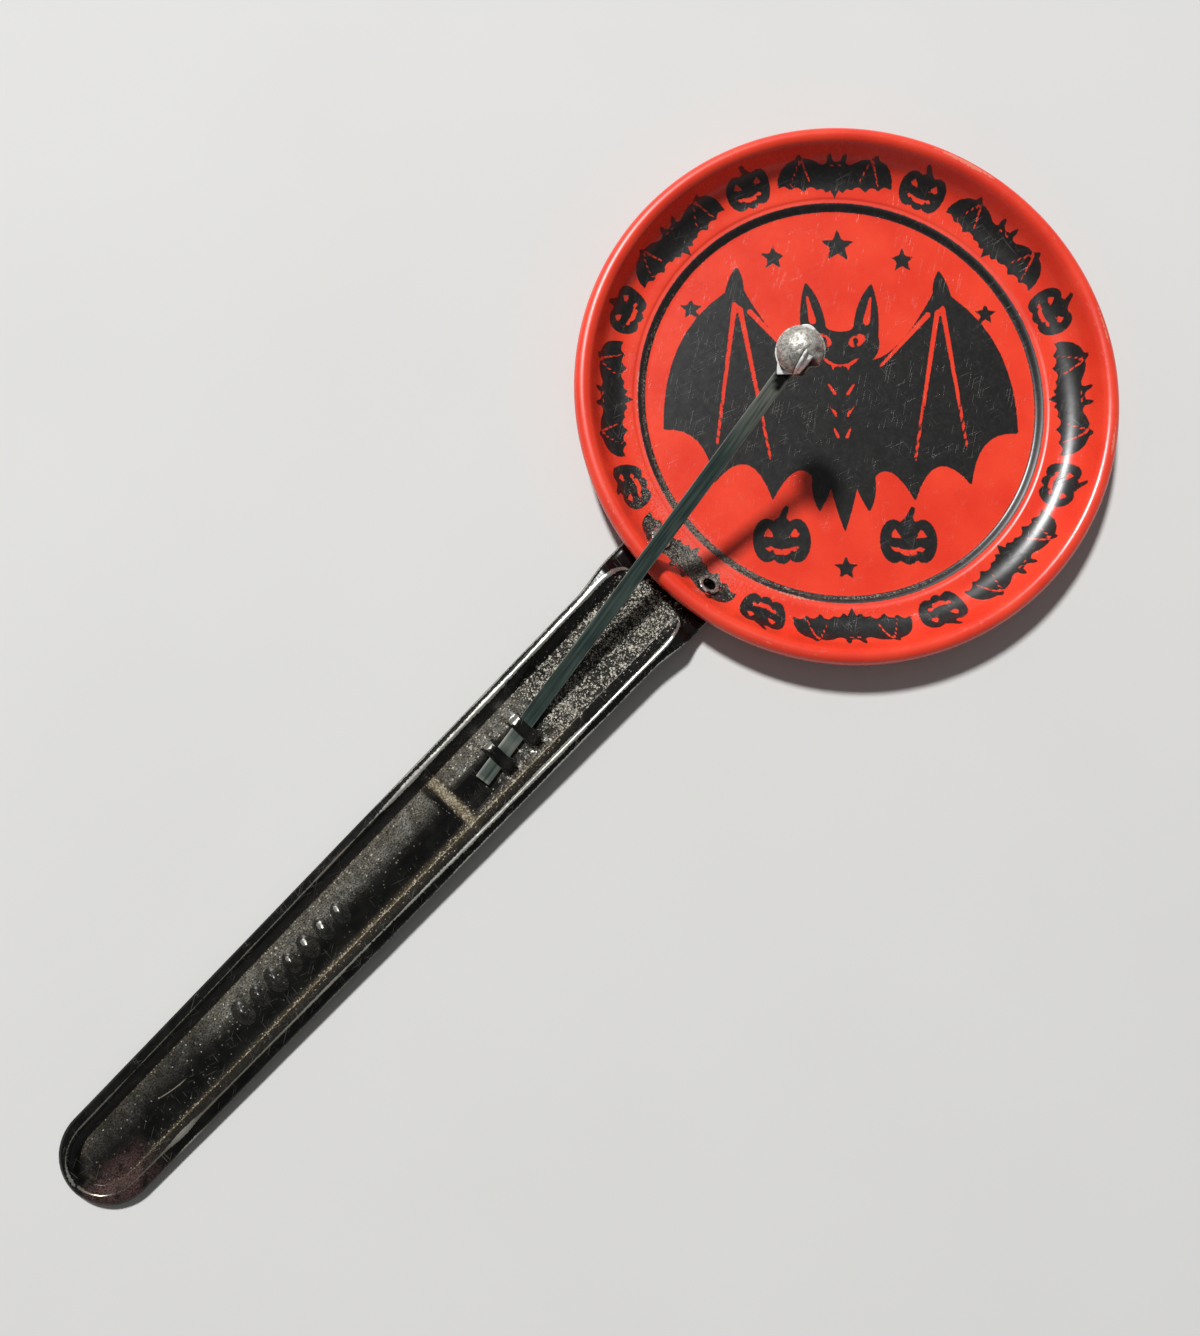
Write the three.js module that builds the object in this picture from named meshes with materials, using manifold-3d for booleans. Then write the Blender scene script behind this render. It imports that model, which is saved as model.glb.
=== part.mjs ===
// Tin clacker noisemaker: a pressed-tin pan on a long trough handle. A spring strip, threaded
// under two straps in the handle, carries a hollow ball hammer over the pan.
// Millimetres, +Z up. Origin: the middle of the pan's underside. The handle runs along -X.
import * as THREE from 'three';
import { mergeVertices } from 'three/addons/utils/BufferGeometryUtils.js';
import { ParametricGeometry } from 'three/addons/geometries/ParametricGeometry.js';
import Module from 'manifold-3d';

const wasm = await Module();
wasm.setup();

const DEG = Math.PI / 180;

// Clearances
const seatGap = 0.3; // between pieces that touch on the real toy
const rivetPlay = 0.25; // round an eyelet's barrel

// Pan
const sheet = 0.3; // tin plate of the pan and the handle
const rimRadius = 39;
const panDepth = 5.6; // from the top of the rim bead down to the disc
const beadRadius = 1.25;
const beadTurn = 290 * DEG; // how far the rim is curled, from where the wall runs into it
const wallSlope = 62 * DEG;
const wallRun = 1.2; // plan width of the steep wall
const coveRadius = 1; // of the fold between the seat and the wall
const seatWidth = 4.75; // plan width of the conical seat that takes the eyelets
const ledgeWidth = 0.95;
const ledgeHeight = 0.6;
const stepWidth = 1.15;

// Handle
const handleLength = 110.7; // from the rim to the tip of the tail
const neckGap = 1.3; // between the handle's floor and the bead above it
const neckRun = 1; // from the rim out to where the trough ends
const head = { foot: 4.6, crest: 6.3, edge: 7.3 }; // half widths of the trough at the pan
const tail = { foot: 3.65, crest: 4.9, edge: 6.5 };
const crestHeight = 1.7; // side walls above the floor at the straps
const edgeDrop = 0.45; // outer edge below the crest
const bend = 0.35; // half width of the folds at crest and foot
const noseFoot = 4.8;
const noseCrest = 5.6;
const noseEdge = 6.4;
const gripRise = 0.35; // the grip's floor lies higher than the floor at the straps
const gripStart = 39.9; // from the rim
const gripRamp = 1.8;
const headCurve = 5; // length over which the crests turn in at the pan
const headTurnIn = 1.6;
const tongueHalfWidth = 8.1;
const flare = 8.5; // length over which the edge widens to the tongue
const tongueOverlap = 7.5; // how far the tongue runs in under the rim
const tongueCorner = 2.8;

// Straps and strip
const strapWidth = 1.65;
const strapHalfSpan = 2.6;
const strapLeg = 0.7; // plan length of each leg
const strapRoot = 0.4; // each leg's run into the floor
const strapShift = -0.35; // the straps sit a little off the handle's middle
const strapFromRim = 27.1; // first strap
const strapPitch = 5;
const slitWidth = 0.25;
const strapThickness = 0.27; // lancing thins the tin a little
const stripWidth = 2.2;
const stripThickness = 0.35;
const stripTail = 4; // past the middle of the second strap
const stripShift = 0.15; // sideways place of the strip at the first strap
const stripSkew = 7.2 * DEG;
const rootSlope = 9.5 * DEG; // where the strip leaves the straps
const endSlope = 21.5 * DEG; // at the hammer
const bendRun = 1.4; // from the first strap's middle to the bend
const rootFlex = 3.4; // from the first strap's middle to the first flexing place
const kneeFlex = 30.5; // to the second one, just inside the rim
const hammerReach = 59.8; // to the middle of the hammer

// Eyelets
const eyeletSpacing = 9.4;
const eyeletInset = 1.4; // from the seat's outer edge
const eyeletBore = 0.9;
const eyeletBarrel = 1.1;
const eyeletFlange = 1.55;
const eyeletRoll = 1.5;
const eyeletWall = 0.22;

// Hammer
const hammerRadius = 3.05;
const hammerWall = 0.35;
const hammerFlange = 3.35;
const entryEar = 0.75; // pointed ears of the flange, past its round edge
const farEar = 0.45;
const earHalfWidth = 1.5;
const crimpDepth = 0.45;
const crimpWidth = 0.5;
const crimpPlace = -1.25; // sideways place of the crimp that nips the strip
const crimpEnd = 1.2; // past the hammer's middle
const crimpFade = 1.5;
const stripInHammer = 1.6; // strip's end past the hammer's middle

// Fineness, and the depth of the cuts that go through the tin
const panSegments = 64;
const coveSegments = 3;
const beadSegments = 13;
const cupRings = 8;
const cupSegments = 32;
const eyeletSegments = 20;
const cutDepth = 4;

// Derived places
const beadMiddle = rimRadius - beadRadius;
const beadLevel = sheet + panDepth - beadRadius;
const seatOuter = beadMiddle - beadRadius * Math.sin(wallSlope) - wallRun;
const seatTop = beadLevel + beadRadius * Math.cos(wallSlope) - wallRun * Math.tan(wallSlope);
const seatInner = seatOuter - seatWidth;
const ledgeTop = sheet + ledgeHeight;
const seatSlope = Math.atan((seatTop - ledgeTop) / seatWidth);
const stepOuter = seatInner - ledgeWidth;
const discRadius = stepOuter - stepWidth;
const headX = -rimRadius - neckRun;
const tailX = -rimRadius - handleLength;
const noseX = tailX + noseEdge;
const gripX = -rimRadius - gripStart;
const strapX = -rimRadius - strapFromRim;
const headLevel = sheet / 2 + panDepth - 2 * beadRadius - neckGap; // middle of the tin
const restX = noseX - noseFoot;
const floorSlope = (sheet / 2 - gripRise - headLevel) / (restX - headX);

// Tools for solids

function bare(geometry) {
  const copy = geometry.index ? geometry.clone() : geometry;
  copy.deleteAttribute('normal');
  copy.deleteAttribute('uv');
  const welded = mergeVertices(copy, 1e-5);
  const index = welded.index.array;
  const kept = [];
  for (let i = 0; i < index.length; i += 3) {
    const [a, b, c] = [index[i], index[i + 1], index[i + 2]];
    if (a !== b && b !== c && c !== a) kept.push(a, b, c);
  }
  welded.setIndex(kept);
  return welded;
}

function facingOut(geometry) {
  const at = geometry.attributes.position;
  const index = geometry.index.array;
  const [a, b, c] = [new THREE.Vector3(), new THREE.Vector3(), new THREE.Vector3()];
  let volume = 0;
  for (let i = 0; i < index.length; i += 3) {
    a.fromBufferAttribute(at, index[i]);
    b.fromBufferAttribute(at, index[i + 1]);
    c.fromBufferAttribute(at, index[i + 2]);
    volume += a.dot(b.cross(c));
  }
  if (volume < 0) {
    for (let i = 0; i < index.length; i += 3) [index[i], index[i + 1]] = [index[i + 1], index[i]];
  }
  return geometry;
}

function solid(geometry) {
  const closed = facingOut(bare(geometry));
  const vertProperties = Float32Array.from(closed.attributes.position.array);
  const triVerts = Uint32Array.from(closed.index.array);
  return new wasm.Manifold(new wasm.Mesh({ numProp: 3, vertProperties, triVerts }));
}

function shape(body) {
  const mesh = body.getMesh();
  const geometry = new THREE.BufferGeometry();
  geometry.setAttribute('position', new THREE.BufferAttribute(Float32Array.from(mesh.vertProperties), 3));
  geometry.setIndex(Array.from(mesh.triVerts));
  geometry.computeVertexNormals();
  return geometry;
}

// Surface through rows of points, one row for each station along the piece.
function surfaceThrough(rows) {
  const along = rows.length - 1;
  const across = rows[0].length - 1;
  const pick = (u, v, target) => target.copy(rows[Math.round(v * along)][Math.round(u * across)]);
  return bare(new ParametricGeometry(pick, across, along));
}

// Gives a surface its thickness, half to each side, and closes its edges.
function thicken(surface, thickness) {
  surface.computeVertexNormals();
  const at = surface.attributes.position;
  const normal = surface.attributes.normal;
  const count = at.count;
  const points = [];
  for (const side of [0.5, -0.5]) {
    for (let i = 0; i < count; i++) {
      const step = side * thickness;
      points.push(at.getX(i) + step * normal.getX(i));
      points.push(at.getY(i) + step * normal.getY(i));
      points.push(at.getZ(i) + step * normal.getZ(i));
    }
  }
  const index = surface.index.array;
  const faces = [];
  const edges = new Set();
  for (let i = 0; i < index.length; i += 3) {
    const corners = [index[i], index[i + 1], index[i + 2]];
    faces.push(...corners, corners[0] + count, corners[2] + count, corners[1] + count);
    corners.forEach((corner, k) => edges.add(`${corner} ${corners[(k + 1) % 3]}`));
  }
  for (const edge of edges) {
    const [a, b] = edge.split(' ').map(Number);
    if (!edges.has(`${b} ${a}`)) faces.push(b, a, a + count, b, a + count, b + count);
  }
  const geometry = new THREE.BufferGeometry();
  geometry.setAttribute('position', new THREE.Float32BufferAttribute(points, 3));
  geometry.setIndex(faces);
  return geometry;
}

function revolve(profile, segments) {
  const points = profile.map(([radius, height]) => new THREE.Vector2(radius, height));
  return new THREE.LatheGeometry(points, segments).rotateX(Math.PI / 2);
}

function ramp(value) {
  const t = Math.min(1, Math.max(0, value));
  return t * t * (3 - 2 * t);
}

function named(name, geometry, material) {
  const mesh = new THREE.Mesh(geometry, material);
  mesh.name = name;
  return mesh;
}

// Materials
const redEnamel = new THREE.MeshStandardMaterial({ color: 0xd8321e, roughness: 0.28, metalness: 0.1 });
const blackJapan = new THREE.MeshStandardMaterial({ color: 0x1b1a19, roughness: 0.38, metalness: 0.3 });
const rivetTin = new THREE.MeshStandardMaterial({ color: 0xb9b6ad, roughness: 0.35, metalness: 0.9 });
const bluedSteel = new THREE.MeshStandardMaterial({ color: 0x49504e, roughness: 0.42, metalness: 0.8 });
const dullTin = new THREE.MeshStandardMaterial({ color: 0xa8a5a0, roughness: 0.48, metalness: 0.85 });

// Pan. Its upper face runs from the middle out to the crown of the rolled bead and on to the
// bead's cut edge; the lower face lies one tin thickness under it.

function panUpper(radius) {
  if (radius <= discRadius) return sheet;
  if (radius <= stepOuter) return sheet + ledgeHeight * ramp((radius - discRadius) / stepWidth);
  if (radius <= seatInner) return ledgeTop;
  return ledgeTop + (Math.min(radius, seatOuter) - seatInner) * Math.tan(seatSlope);
}

function panUnder(radius) {
  const slope = radius > seatInner ? seatSlope : 0;
  return panUpper(radius) - sheet / Math.cos(slope);
}

// Points of the upper face outside the disc, each with its radius, its height and its lean.
function panFace() {
  const face = [];
  for (const t of [0, 0.25, 0.5, 0.75, 1]) {
    const steepness = (ledgeHeight / stepWidth) * 6 * t * (1 - t);
    face.push([discRadius + stepWidth * t, sheet + ledgeHeight * ramp(t), Math.atan(steepness)]);
  }
  face.push([seatInner, ledgeTop, seatSlope / 2]);
  const coveRun = coveRadius * Math.tan((wallSlope - seatSlope) / 2);
  const coveMiddle = seatOuter - coveRun * Math.cos(seatSlope) - coveRadius * Math.sin(seatSlope);
  const coveLevel = seatTop - coveRun * Math.sin(seatSlope) + coveRadius * Math.cos(seatSlope);
  for (let i = 0; i <= coveSegments; i++) {
    const lean = seatSlope + ((wallSlope - seatSlope) * i) / coveSegments;
    face.push([coveMiddle + coveRadius * Math.sin(lean), coveLevel - coveRadius * Math.cos(lean), lean]);
  }
  for (let i = 0; i <= beadSegments; i++) {
    const lean = wallSlope - (beadTurn * i) / beadSegments;
    face.push([beadMiddle - beadRadius * Math.sin(lean), beadLevel + beadRadius * Math.cos(lean), lean]);
  }
  return face;
}

function sheetSide(offset) {
  return panFace().map(([radius, height, lean]) => (
    [radius + offset * Math.sin(lean), height - offset * Math.cos(lean)]
  ));
}

const rivetRadius = seatOuter - eyeletInset;
const eyeletY = eyeletSpacing / 2;
const eyeletX = -Math.sqrt(rivetRadius ** 2 - eyeletY ** 2);
const rivetLength = 2 * sheet + 3 * seatGap; // between the faces of the two flanges

// Turns a piece made round +Z so that it stands square on the seat at one of the two rivet places.
function onSeat(geometry, side) {
  const turn = Math.atan2(side * eyeletY, eyeletX);
  geometry.rotateY(-seatSlope);
  geometry.rotateZ(turn);
  return geometry.translate(eyeletX, side * eyeletY, panUpper(rivetRadius));
}

function rivetHole(side) {
  const radius = eyeletBarrel + rivetPlay;
  const drill = new THREE.CylinderGeometry(radius, radius, cutDepth, eyeletSegments);
  drill.rotateX(Math.PI / 2);
  return solid(onSeat(drill, side));
}

function makePan() {
  const profile = [[0, sheet], ...sheetSide(0), ...sheetSide(sheet).reverse(), [0, 0]];
  const dish = solid(revolve(profile, panSegments));
  return shape(dish.subtract(rivetHole(1)).subtract(rivetHole(-1)));
}

// Handle. Heights below are those of the middle of the tin.

function floorLevel(x) {
  const slopeLevel = headLevel + floorSlope * (x - headX);
  return slopeLevel + gripRise * ramp((gripX - x) / gripRamp);
}

function tongueLevel(x, y) {
  const radius = Math.hypot(x, y);
  const underSeat = (seatGap + sheet / 2) / Math.cos(seatSlope);
  const onSeatLevel = panUnder(Math.min(radius, seatOuter)) - underSeat;
  const outward = ramp((radius - seatOuter) / (-headX - seatOuter));
  return onSeatLevel + (headLevel - onSeatLevel) * outward;
}

// One station of the handle: the sideways place and height of each fold, from edge to middle.
function halfSection(x, foot, crest, edge, fade) {
  const floor = floorLevel(x);
  const top = headLevel + floorSlope * (x - headX) + crestHeight;
  const sink = (level) => floor + (level - floor) * fade;
  return [
    [edge, sink(top - edgeDrop)],
    [crest + bend, sink(top - 0.2 * bend)],
    [crest, sink(top)],
    [crest - bend, sink(top - 0.6 * bend)],
    [foot + bend, sink(floor + 0.4 * bend)],
    [foot, floor],
    [0, floor],
  ];
}

function mirrored(half) {
  const other = half.slice(0, -1).reverse();
  return [...half, ...other.map((point) => new THREE.Vector3(point.x, -point.y, point.z))];
}

function handleRows() {
  const rows = [];
  const taper = (side, x) => tail[side] + ((head[side] - tail[side]) * (x - noseX)) / (headX - noseX);
  for (const degrees of [0, 12, 25, 40, 55, 70, 82]) {
    const phi = degrees * DEG;
    const noses = [noseEdge, noseCrest + bend, noseCrest, noseCrest - bend, noseFoot + bend];
    noses.push(noseFoot, noseFoot);
    const half = halfSection(noseX, tail.foot, tail.crest, tail.edge, 1);
    rows.push(mirrored(half.map(([y, z], k) => {
      const x = noseX - noses[k] * Math.cos(phi);
      return new THREE.Vector3(x, y * Math.sin(phi), z + floorSlope * (x - noseX));
    })));
  }
  const straight = [0, 0.3, 0.65, 1].map((t) => noseX + (gripX - gripRamp - noseX) * t);
  straight.push(gripX - gripRamp * 0.65, gripX - gripRamp * 0.35, gripX, strapX, headX - flare);
  const curved = [0, 0.35, 0.6, 0.8, 0.93, 1].map((t) => headX - headCurve * (1 - t));
  for (const x of [...straight, ...curved]) {
    const u = Math.max(0, 1 - (headX - x) / headCurve);
    const turnIn = headTurnIn * (1 - Math.sqrt(1 - u * u));
    const widen = ramp(1 - (headX - x) / flare);
    const foot = taper('foot', x) - turnIn * 0.8;
    const crest = taper('crest', x) - turnIn;
    const edge = taper('edge', x);
    const wide = edge + (tongueHalfWidth - edge) * widen;
    const half = halfSection(x, foot, crest, wide, 1 - 0.92 * ramp((u - 0.4) / 0.6));
    rows.push(mirrored(half.map(([y, z]) => new THREE.Vector3(x, y, z))));
  }
  const shares = rows.at(-1).map((point) => point.y / tongueHalfWidth);
  const tongueEnd = -rimRadius + tongueOverlap;
  const cornerX = tongueEnd - tongueCorner;
  const addTongueRow = (x, half) => {
    rows.push(shares.map((share) => new THREE.Vector3(x, share * half, tongueLevel(x, share * half))));
  };
  for (const t of [0.2, 0.4, 0.6, 0.8, 1]) {
    addTongueRow(headX + (cornerX - headX) * t, tongueHalfWidth);
  }
  for (const degrees of [30, 55, 75, 90]) {
    const round = degrees * DEG;
    const half = tongueHalfWidth - tongueCorner * (1 - Math.cos(round));
    addTongueRow(cornerX + tongueCorner * Math.sin(round), half);
  }
  return rows;
}

function strapSolid(x) {
  const lift = sheet / 2 + 2 * seatGap + stripThickness + strapThickness / 2;
  const inner = strapHalfSpan - strapLeg;
  const places = [strapHalfSpan + strapRoot, strapHalfSpan, strapHalfSpan - strapLeg / 2, inner, inner * 0.7];
  const across = [...places, 0, ...places.map((y) => -y).reverse()];
  const rows = [-0.5, 0.5].map((end) => across.map((y) => {
    const height = lift * ramp((strapHalfSpan - Math.abs(y)) / strapLeg);
    const along = x + end * strapWidth;
    return new THREE.Vector3(along, y + strapShift, floorLevel(along) + height);
  }));
  return solid(thicken(surfaceThrough(rows), strapThickness));
}

function strapSlot(x) {
  const slot = new THREE.BoxGeometry(strapWidth + 2 * slitWidth, 2 * strapHalfSpan, cutDepth);
  return solid(slot.translate(x, strapShift, floorLevel(x)));
}

function makeHandle() {
  let body = solid(thicken(surfaceThrough(handleRows()), sheet));
  for (const x of [strapX, strapX - strapPitch]) {
    body = body.subtract(strapSlot(x)).add(strapSolid(x));
  }
  return shape(body.subtract(rivetHole(1)).subtract(rivetHole(-1)));
}

// Eyelet: a barrel with a round-edged flange on the pan's side and a rolled edge under the tongue.
function makeEyelet(side) {
  const top = seatGap;
  const foot = top - rivetLength;
  const profile = [
    [eyeletBore, foot - eyeletWall * 0.5],
    [eyeletBore + eyeletWall, foot - eyeletWall],
    [eyeletRoll - eyeletWall * 0.5, foot - eyeletWall],
    [eyeletRoll, foot - eyeletWall * 0.4],
    [eyeletRoll - eyeletWall * 0.3, foot],
    [eyeletBarrel, foot],
    [eyeletBarrel, top],
    [eyeletFlange - eyeletWall * 0.2, top],
    [eyeletFlange, top + eyeletWall * 0.4],
    [eyeletFlange - eyeletWall * 0.5, top + eyeletWall],
    [eyeletBore + eyeletWall, top + eyeletWall],
    [eyeletBore, top + eyeletWall * 0.5],
    [eyeletBore, foot - eyeletWall * 0.5],
  ];
  return shape(solid(onSeat(revolve(profile, eyeletSegments), side)));
}

// Spring strip. Distances run along its plan from the first strap's middle. Past its bend it
// curves up evenly, from the slope at the straps to the slope at the hammer.

function stripPoint(distance) {
  const x = strapX + distance * Math.cos(stripSkew);
  const y = stripShift + distance * Math.sin(stripSkew);
  const flatX = strapX + Math.min(distance, bendRun) * Math.cos(stripSkew);
  const seat = floorLevel(flatX) + seatGap + (sheet + stripThickness) / 2;
  const run = Math.max(0, distance - bendRun);
  const curve = (Math.tan(endSlope) - Math.tan(rootSlope)) / (2 * (hammerReach - bendRun));
  return new THREE.Vector3(x, y, seat + run * Math.tan(rootSlope) + run ** 2 * curve);
}

function spread(from, to) {
  return [0, 0.2, 0.4, 0.6, 0.8, 1].map((t) => from + (to - from) * t);
}

function makeStrip(distances) {
  const sideways = new THREE.Vector3(-Math.sin(stripSkew), Math.cos(stripSkew), 0);
  const rows = distances.map((distance) => [0.5, -0.5].map((side) => (
    stripPoint(distance).addScaledVector(sideways, side * stripWidth)
  )));
  return shape(solid(thicken(surfaceThrough(rows), stripThickness)));
}

const stripStart = -strapPitch - stripTail;
const hammerEnd = hammerReach + stripInHammer * Math.cos(endSlope);
const rootLengths = [stripStart, 0, bendRun, rootFlex - seatGap / 2];
const lowerLengths = spread(rootFlex + seatGap / 2, kneeFlex - seatGap / 2);
const upperLengths = spread(kneeFlex + seatGap / 2, hammerEnd);

// Hammer half: a cup with a flat flange drawn out to a pointed ear at the strip and a smaller one
// opposite, and a crimp pressed in beside the strip. Made round its own middle, strip along +X.
function makeCup(side) {
  const rows = [];
  const radius = hammerRadius - hammerWall / 2;
  const flangeLevel = seatGap / 2 + hammerWall / 2;
  for (let j = 0; j <= cupRings; j++) {
    const lean = ((j / cupRings) * 90) * DEG;
    const row = [];
    for (let i = 0; i <= cupSegments; i++) {
      const turn = (i / cupSegments) * 2 * Math.PI;
      const x = radius * Math.sin(lean) * Math.cos(turn);
      const y = radius * Math.sin(lean) * Math.sin(turn);
      const z = flangeLevel + (radius - flangeLevel) * Math.cos(lean);
      const near = Math.exp(-(((y - crimpPlace) / crimpWidth) ** 2)) * ramp((crimpEnd - x) / crimpFade);
      const press = crimpDepth * near * Math.cos(lean) ** 0.5;
      row.push(new THREE.Vector3(x, y, side * (z - press)));
    }
    rows.push(row);
  }
  rows.push(rows.at(-1).map((point) => {
    const turn = Math.atan2(point.y, point.x);
    const fromEntry = Math.PI - Math.abs(turn);
    const earWidth = earHalfWidth / hammerFlange;
    const ears = entryEar * ramp(1 - fromEntry / earWidth) + farEar * ramp(1 - Math.abs(turn) / earWidth);
    const reach = hammerFlange + ears;
    return new THREE.Vector3(reach * Math.cos(turn), reach * Math.sin(turn), side * flangeLevel);
  }));
  const cup = solid(thicken(surfaceThrough(rows), hammerWall));
  const clear = 2 * seatGap;
  const reach = hammerFlange + entryEar;
  const channelLength = reach + stripInHammer + 2 * seatGap;
  const channel = new THREE.BoxGeometry(channelLength, stripWidth + clear, stripThickness + clear);
  channel.translate(stripInHammer + seatGap - channelLength / 2, 0, 0);
  return shape(cup.subtract(solid(channel)));
}

const toy = new THREE.Group();
toy.add(named('pan', makePan(), redEnamel));
toy.add(named('handle', makeHandle(), blackJapan));
toy.add(named('eyelet_left', makeEyelet(1), rivetTin));
toy.add(named('eyelet_right', makeEyelet(-1), rivetTin));
toy.add(named('strip_root', makeStrip(rootLengths), bluedSteel));
toy.add(named('strip_lower', makeStrip(lowerLengths), bluedSteel));
toy.add(named('strip_upper', makeStrip(upperLengths), bluedSteel));

const hammer = new THREE.Group();
hammer.position.copy(stripPoint(hammerReach));
hammer.rotation.set(0, -endSlope, stripSkew, 'ZYX');
hammer.add(named('hammer_upper', makeCup(1), dullTin));
hammer.add(named('hammer_lower', makeCup(-1), dullTin));
toy.add(hammer);

export default toy;
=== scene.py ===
import math

import bmesh
import bpy
import numpy as np
from mathutils import Euler, Matrix, Vector, noise


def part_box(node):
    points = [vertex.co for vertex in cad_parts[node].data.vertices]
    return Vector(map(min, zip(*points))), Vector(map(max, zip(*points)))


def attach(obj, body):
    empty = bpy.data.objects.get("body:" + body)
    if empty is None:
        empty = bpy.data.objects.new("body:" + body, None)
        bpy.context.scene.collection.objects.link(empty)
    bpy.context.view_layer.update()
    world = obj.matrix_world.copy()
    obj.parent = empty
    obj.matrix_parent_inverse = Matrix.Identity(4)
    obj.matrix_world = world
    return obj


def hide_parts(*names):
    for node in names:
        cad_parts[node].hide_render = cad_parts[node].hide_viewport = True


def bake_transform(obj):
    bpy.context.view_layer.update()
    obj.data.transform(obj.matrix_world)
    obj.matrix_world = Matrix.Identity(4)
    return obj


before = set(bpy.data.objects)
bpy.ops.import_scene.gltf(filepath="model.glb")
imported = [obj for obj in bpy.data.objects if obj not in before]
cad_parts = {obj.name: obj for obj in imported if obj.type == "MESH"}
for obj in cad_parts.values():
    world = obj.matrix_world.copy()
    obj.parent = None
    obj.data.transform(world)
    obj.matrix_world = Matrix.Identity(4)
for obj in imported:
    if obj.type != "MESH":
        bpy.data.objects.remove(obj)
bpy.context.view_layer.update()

# Pan. A round blank of tin plate, printed flat in red and black, then drawn to a dish with a flat
# disc, a small step, a flat seat and a round cove up to a steep wall. The edge is curled outward
# into a hollow bead. Lengths are millimetres, and a mesh is brought to metres when it is finished.
MM = 0.001
TIN = 0.3
pan_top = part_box("pan")[1]
rim_radius = pan_top.x / MM
rim_level = pan_top.z / MM
bead_radius = 1.25
bead_turn = math.radians(290)
bead_middle = rim_radius - bead_radius
bead_level = rim_level - bead_radius
wall_slope = math.radians(62)
wall_outer = bead_middle - bead_radius * math.sin(wall_slope)
wall_top = bead_level + bead_radius * math.cos(wall_slope)
ledge_top = TIN + 0.6
lip_rise, lip_width = 0.15, 0.5
cove_inner = wall_outer - 6.0
cove_base = ledge_top + lip_rise
seat_slope = math.radians(2)
cove_radius = 4.6
cove_run = cove_radius * (math.sin(wall_slope) - math.sin(seat_slope))
cove_rise = cove_radius * (math.cos(seat_slope) - math.cos(wall_slope))
rest_run, rest_rise = wall_outer - cove_inner - cove_run, wall_top - cove_base - cove_rise
wall_run = (rest_rise - rest_run * math.tan(seat_slope)) / (math.tan(wall_slope) - math.tan(seat_slope))
cove_end = wall_outer - wall_run
cove_start = cove_end - cove_run
step_width = 1.15
step_outer = cove_inner - 0.9
disc_radius = step_outer - step_width


def ramp(value):
    t = np.clip(value, 0, 1)
    return t * t * (3 - 2 * t)


def near(value, middle, reach):
    """1 at the middle, and falling to 0 at its reach on either side."""
    return ramp(1 - np.abs(value - middle) / reach)


def cove_lean(radius):
    run = np.clip(radius, cove_start, cove_end) - cove_start
    return np.arcsin(math.sin(seat_slope) + run / cove_radius)


def cove_level(radius):
    seat = (np.minimum(radius, cove_start) - cove_inner) * math.tan(seat_slope)
    wall = np.maximum(radius - cove_end, 0) * math.tan(wall_slope)
    return cove_base + seat + cove_radius * (math.cos(seat_slope) - np.cos(cove_lean(radius))) + wall


def along_cove(radius):
    """Distance over the tin, counted from the start of the cove."""
    seat = np.minimum(radius - cove_start, 0) / math.cos(seat_slope)
    wall = np.maximum(radius - cove_end, 0) / math.cos(wall_slope)
    return seat + cove_radius * (cove_lean(radius) - seat_slope) + wall


def pan_profile(disc_rings, step_rings, lip_rings, cove_rings, bead_rings):
    """Radius, height and lean of the upper face, from the middle to the bead's cut edge."""
    face = [(disc_radius * i / disc_rings, TIN, 0) for i in range(disc_rings)]
    for start, width, low, rise, rings in (
            (disc_radius, step_width, TIN, ledge_top - TIN, step_rings),
            (cove_inner - lip_width, lip_width, ledge_top, lip_rise, lip_rings)):
        for i in range(rings + 1):
            t = i / rings
            lean = math.atan(rise / width * 6 * t * (1 - t))
            face.append((start + width * t, low + rise * ramp(t), lean))
    spread = np.linspace(cove_inner, wall_outer, 400)
    even = np.linspace(along_cove(cove_inner), along_cove(wall_outer), cove_rings + 1)[1:-1]
    for radius in np.interp(even, along_cove(spread), spread):
        face.append((float(radius), float(cove_level(radius)), float(cove_lean(radius))))
    for i in range(bead_rings + 1):
        lean = wall_slope - bead_turn * i / bead_rings
        inward, upward = bead_radius * math.sin(lean), bead_radius * math.cos(lean)
        face.append((bead_middle - inward, bead_level + upward, lean))
    return face


def add(tree, kind, inputs=None, **settings):
    """Adds a node. An input is a socket to link from, or a plain value."""
    made = tree.nodes.new(kind)
    for key, value in settings.items():
        setattr(made, key, value)
    for key, value in (inputs or {}).items():
        value = getattr(value, "socket", value)
        if isinstance(value, bpy.types.NodeSocket):
            tree.links.new(value, made.inputs[key])
        else:
            made.inputs[key].default_value = value
    return made


def new_tree(name, kind, inputs, outputs):
    """An empty node group with named inputs and outputs, and the two ends of it."""
    tree = bpy.data.node_groups.new(name, kind)
    for label, socket, value in inputs:
        made = tree.interface.new_socket(label, in_out="INPUT", socket_type="NodeSocket" + socket)
        if value is not None:
            made.default_value = value
    for label, socket in outputs:
        tree.interface.new_socket(label, in_out="OUTPUT", socket_type="NodeSocket" + socket)
    return tree, tree.nodes.new("NodeGroupInput").outputs, tree.nodes.new("NodeGroupOutput").inputs


def finish_off(tree, shape, finish, result):
    """The end of a geometry tree: smooth faces, no instances left, and the finish put on."""
    for kind, more in (("GeometryNodeSetShadeSmooth", {}), ("GeometryNodeRealizeInstances", {}),
                       ("GeometryNodeSetMaterial", {"Material": finish})):
        shape = add(tree, kind, {"Geometry": shape, **more}).outputs["Geometry"]
    tree.links.new(shape, result["Geometry"])


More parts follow.
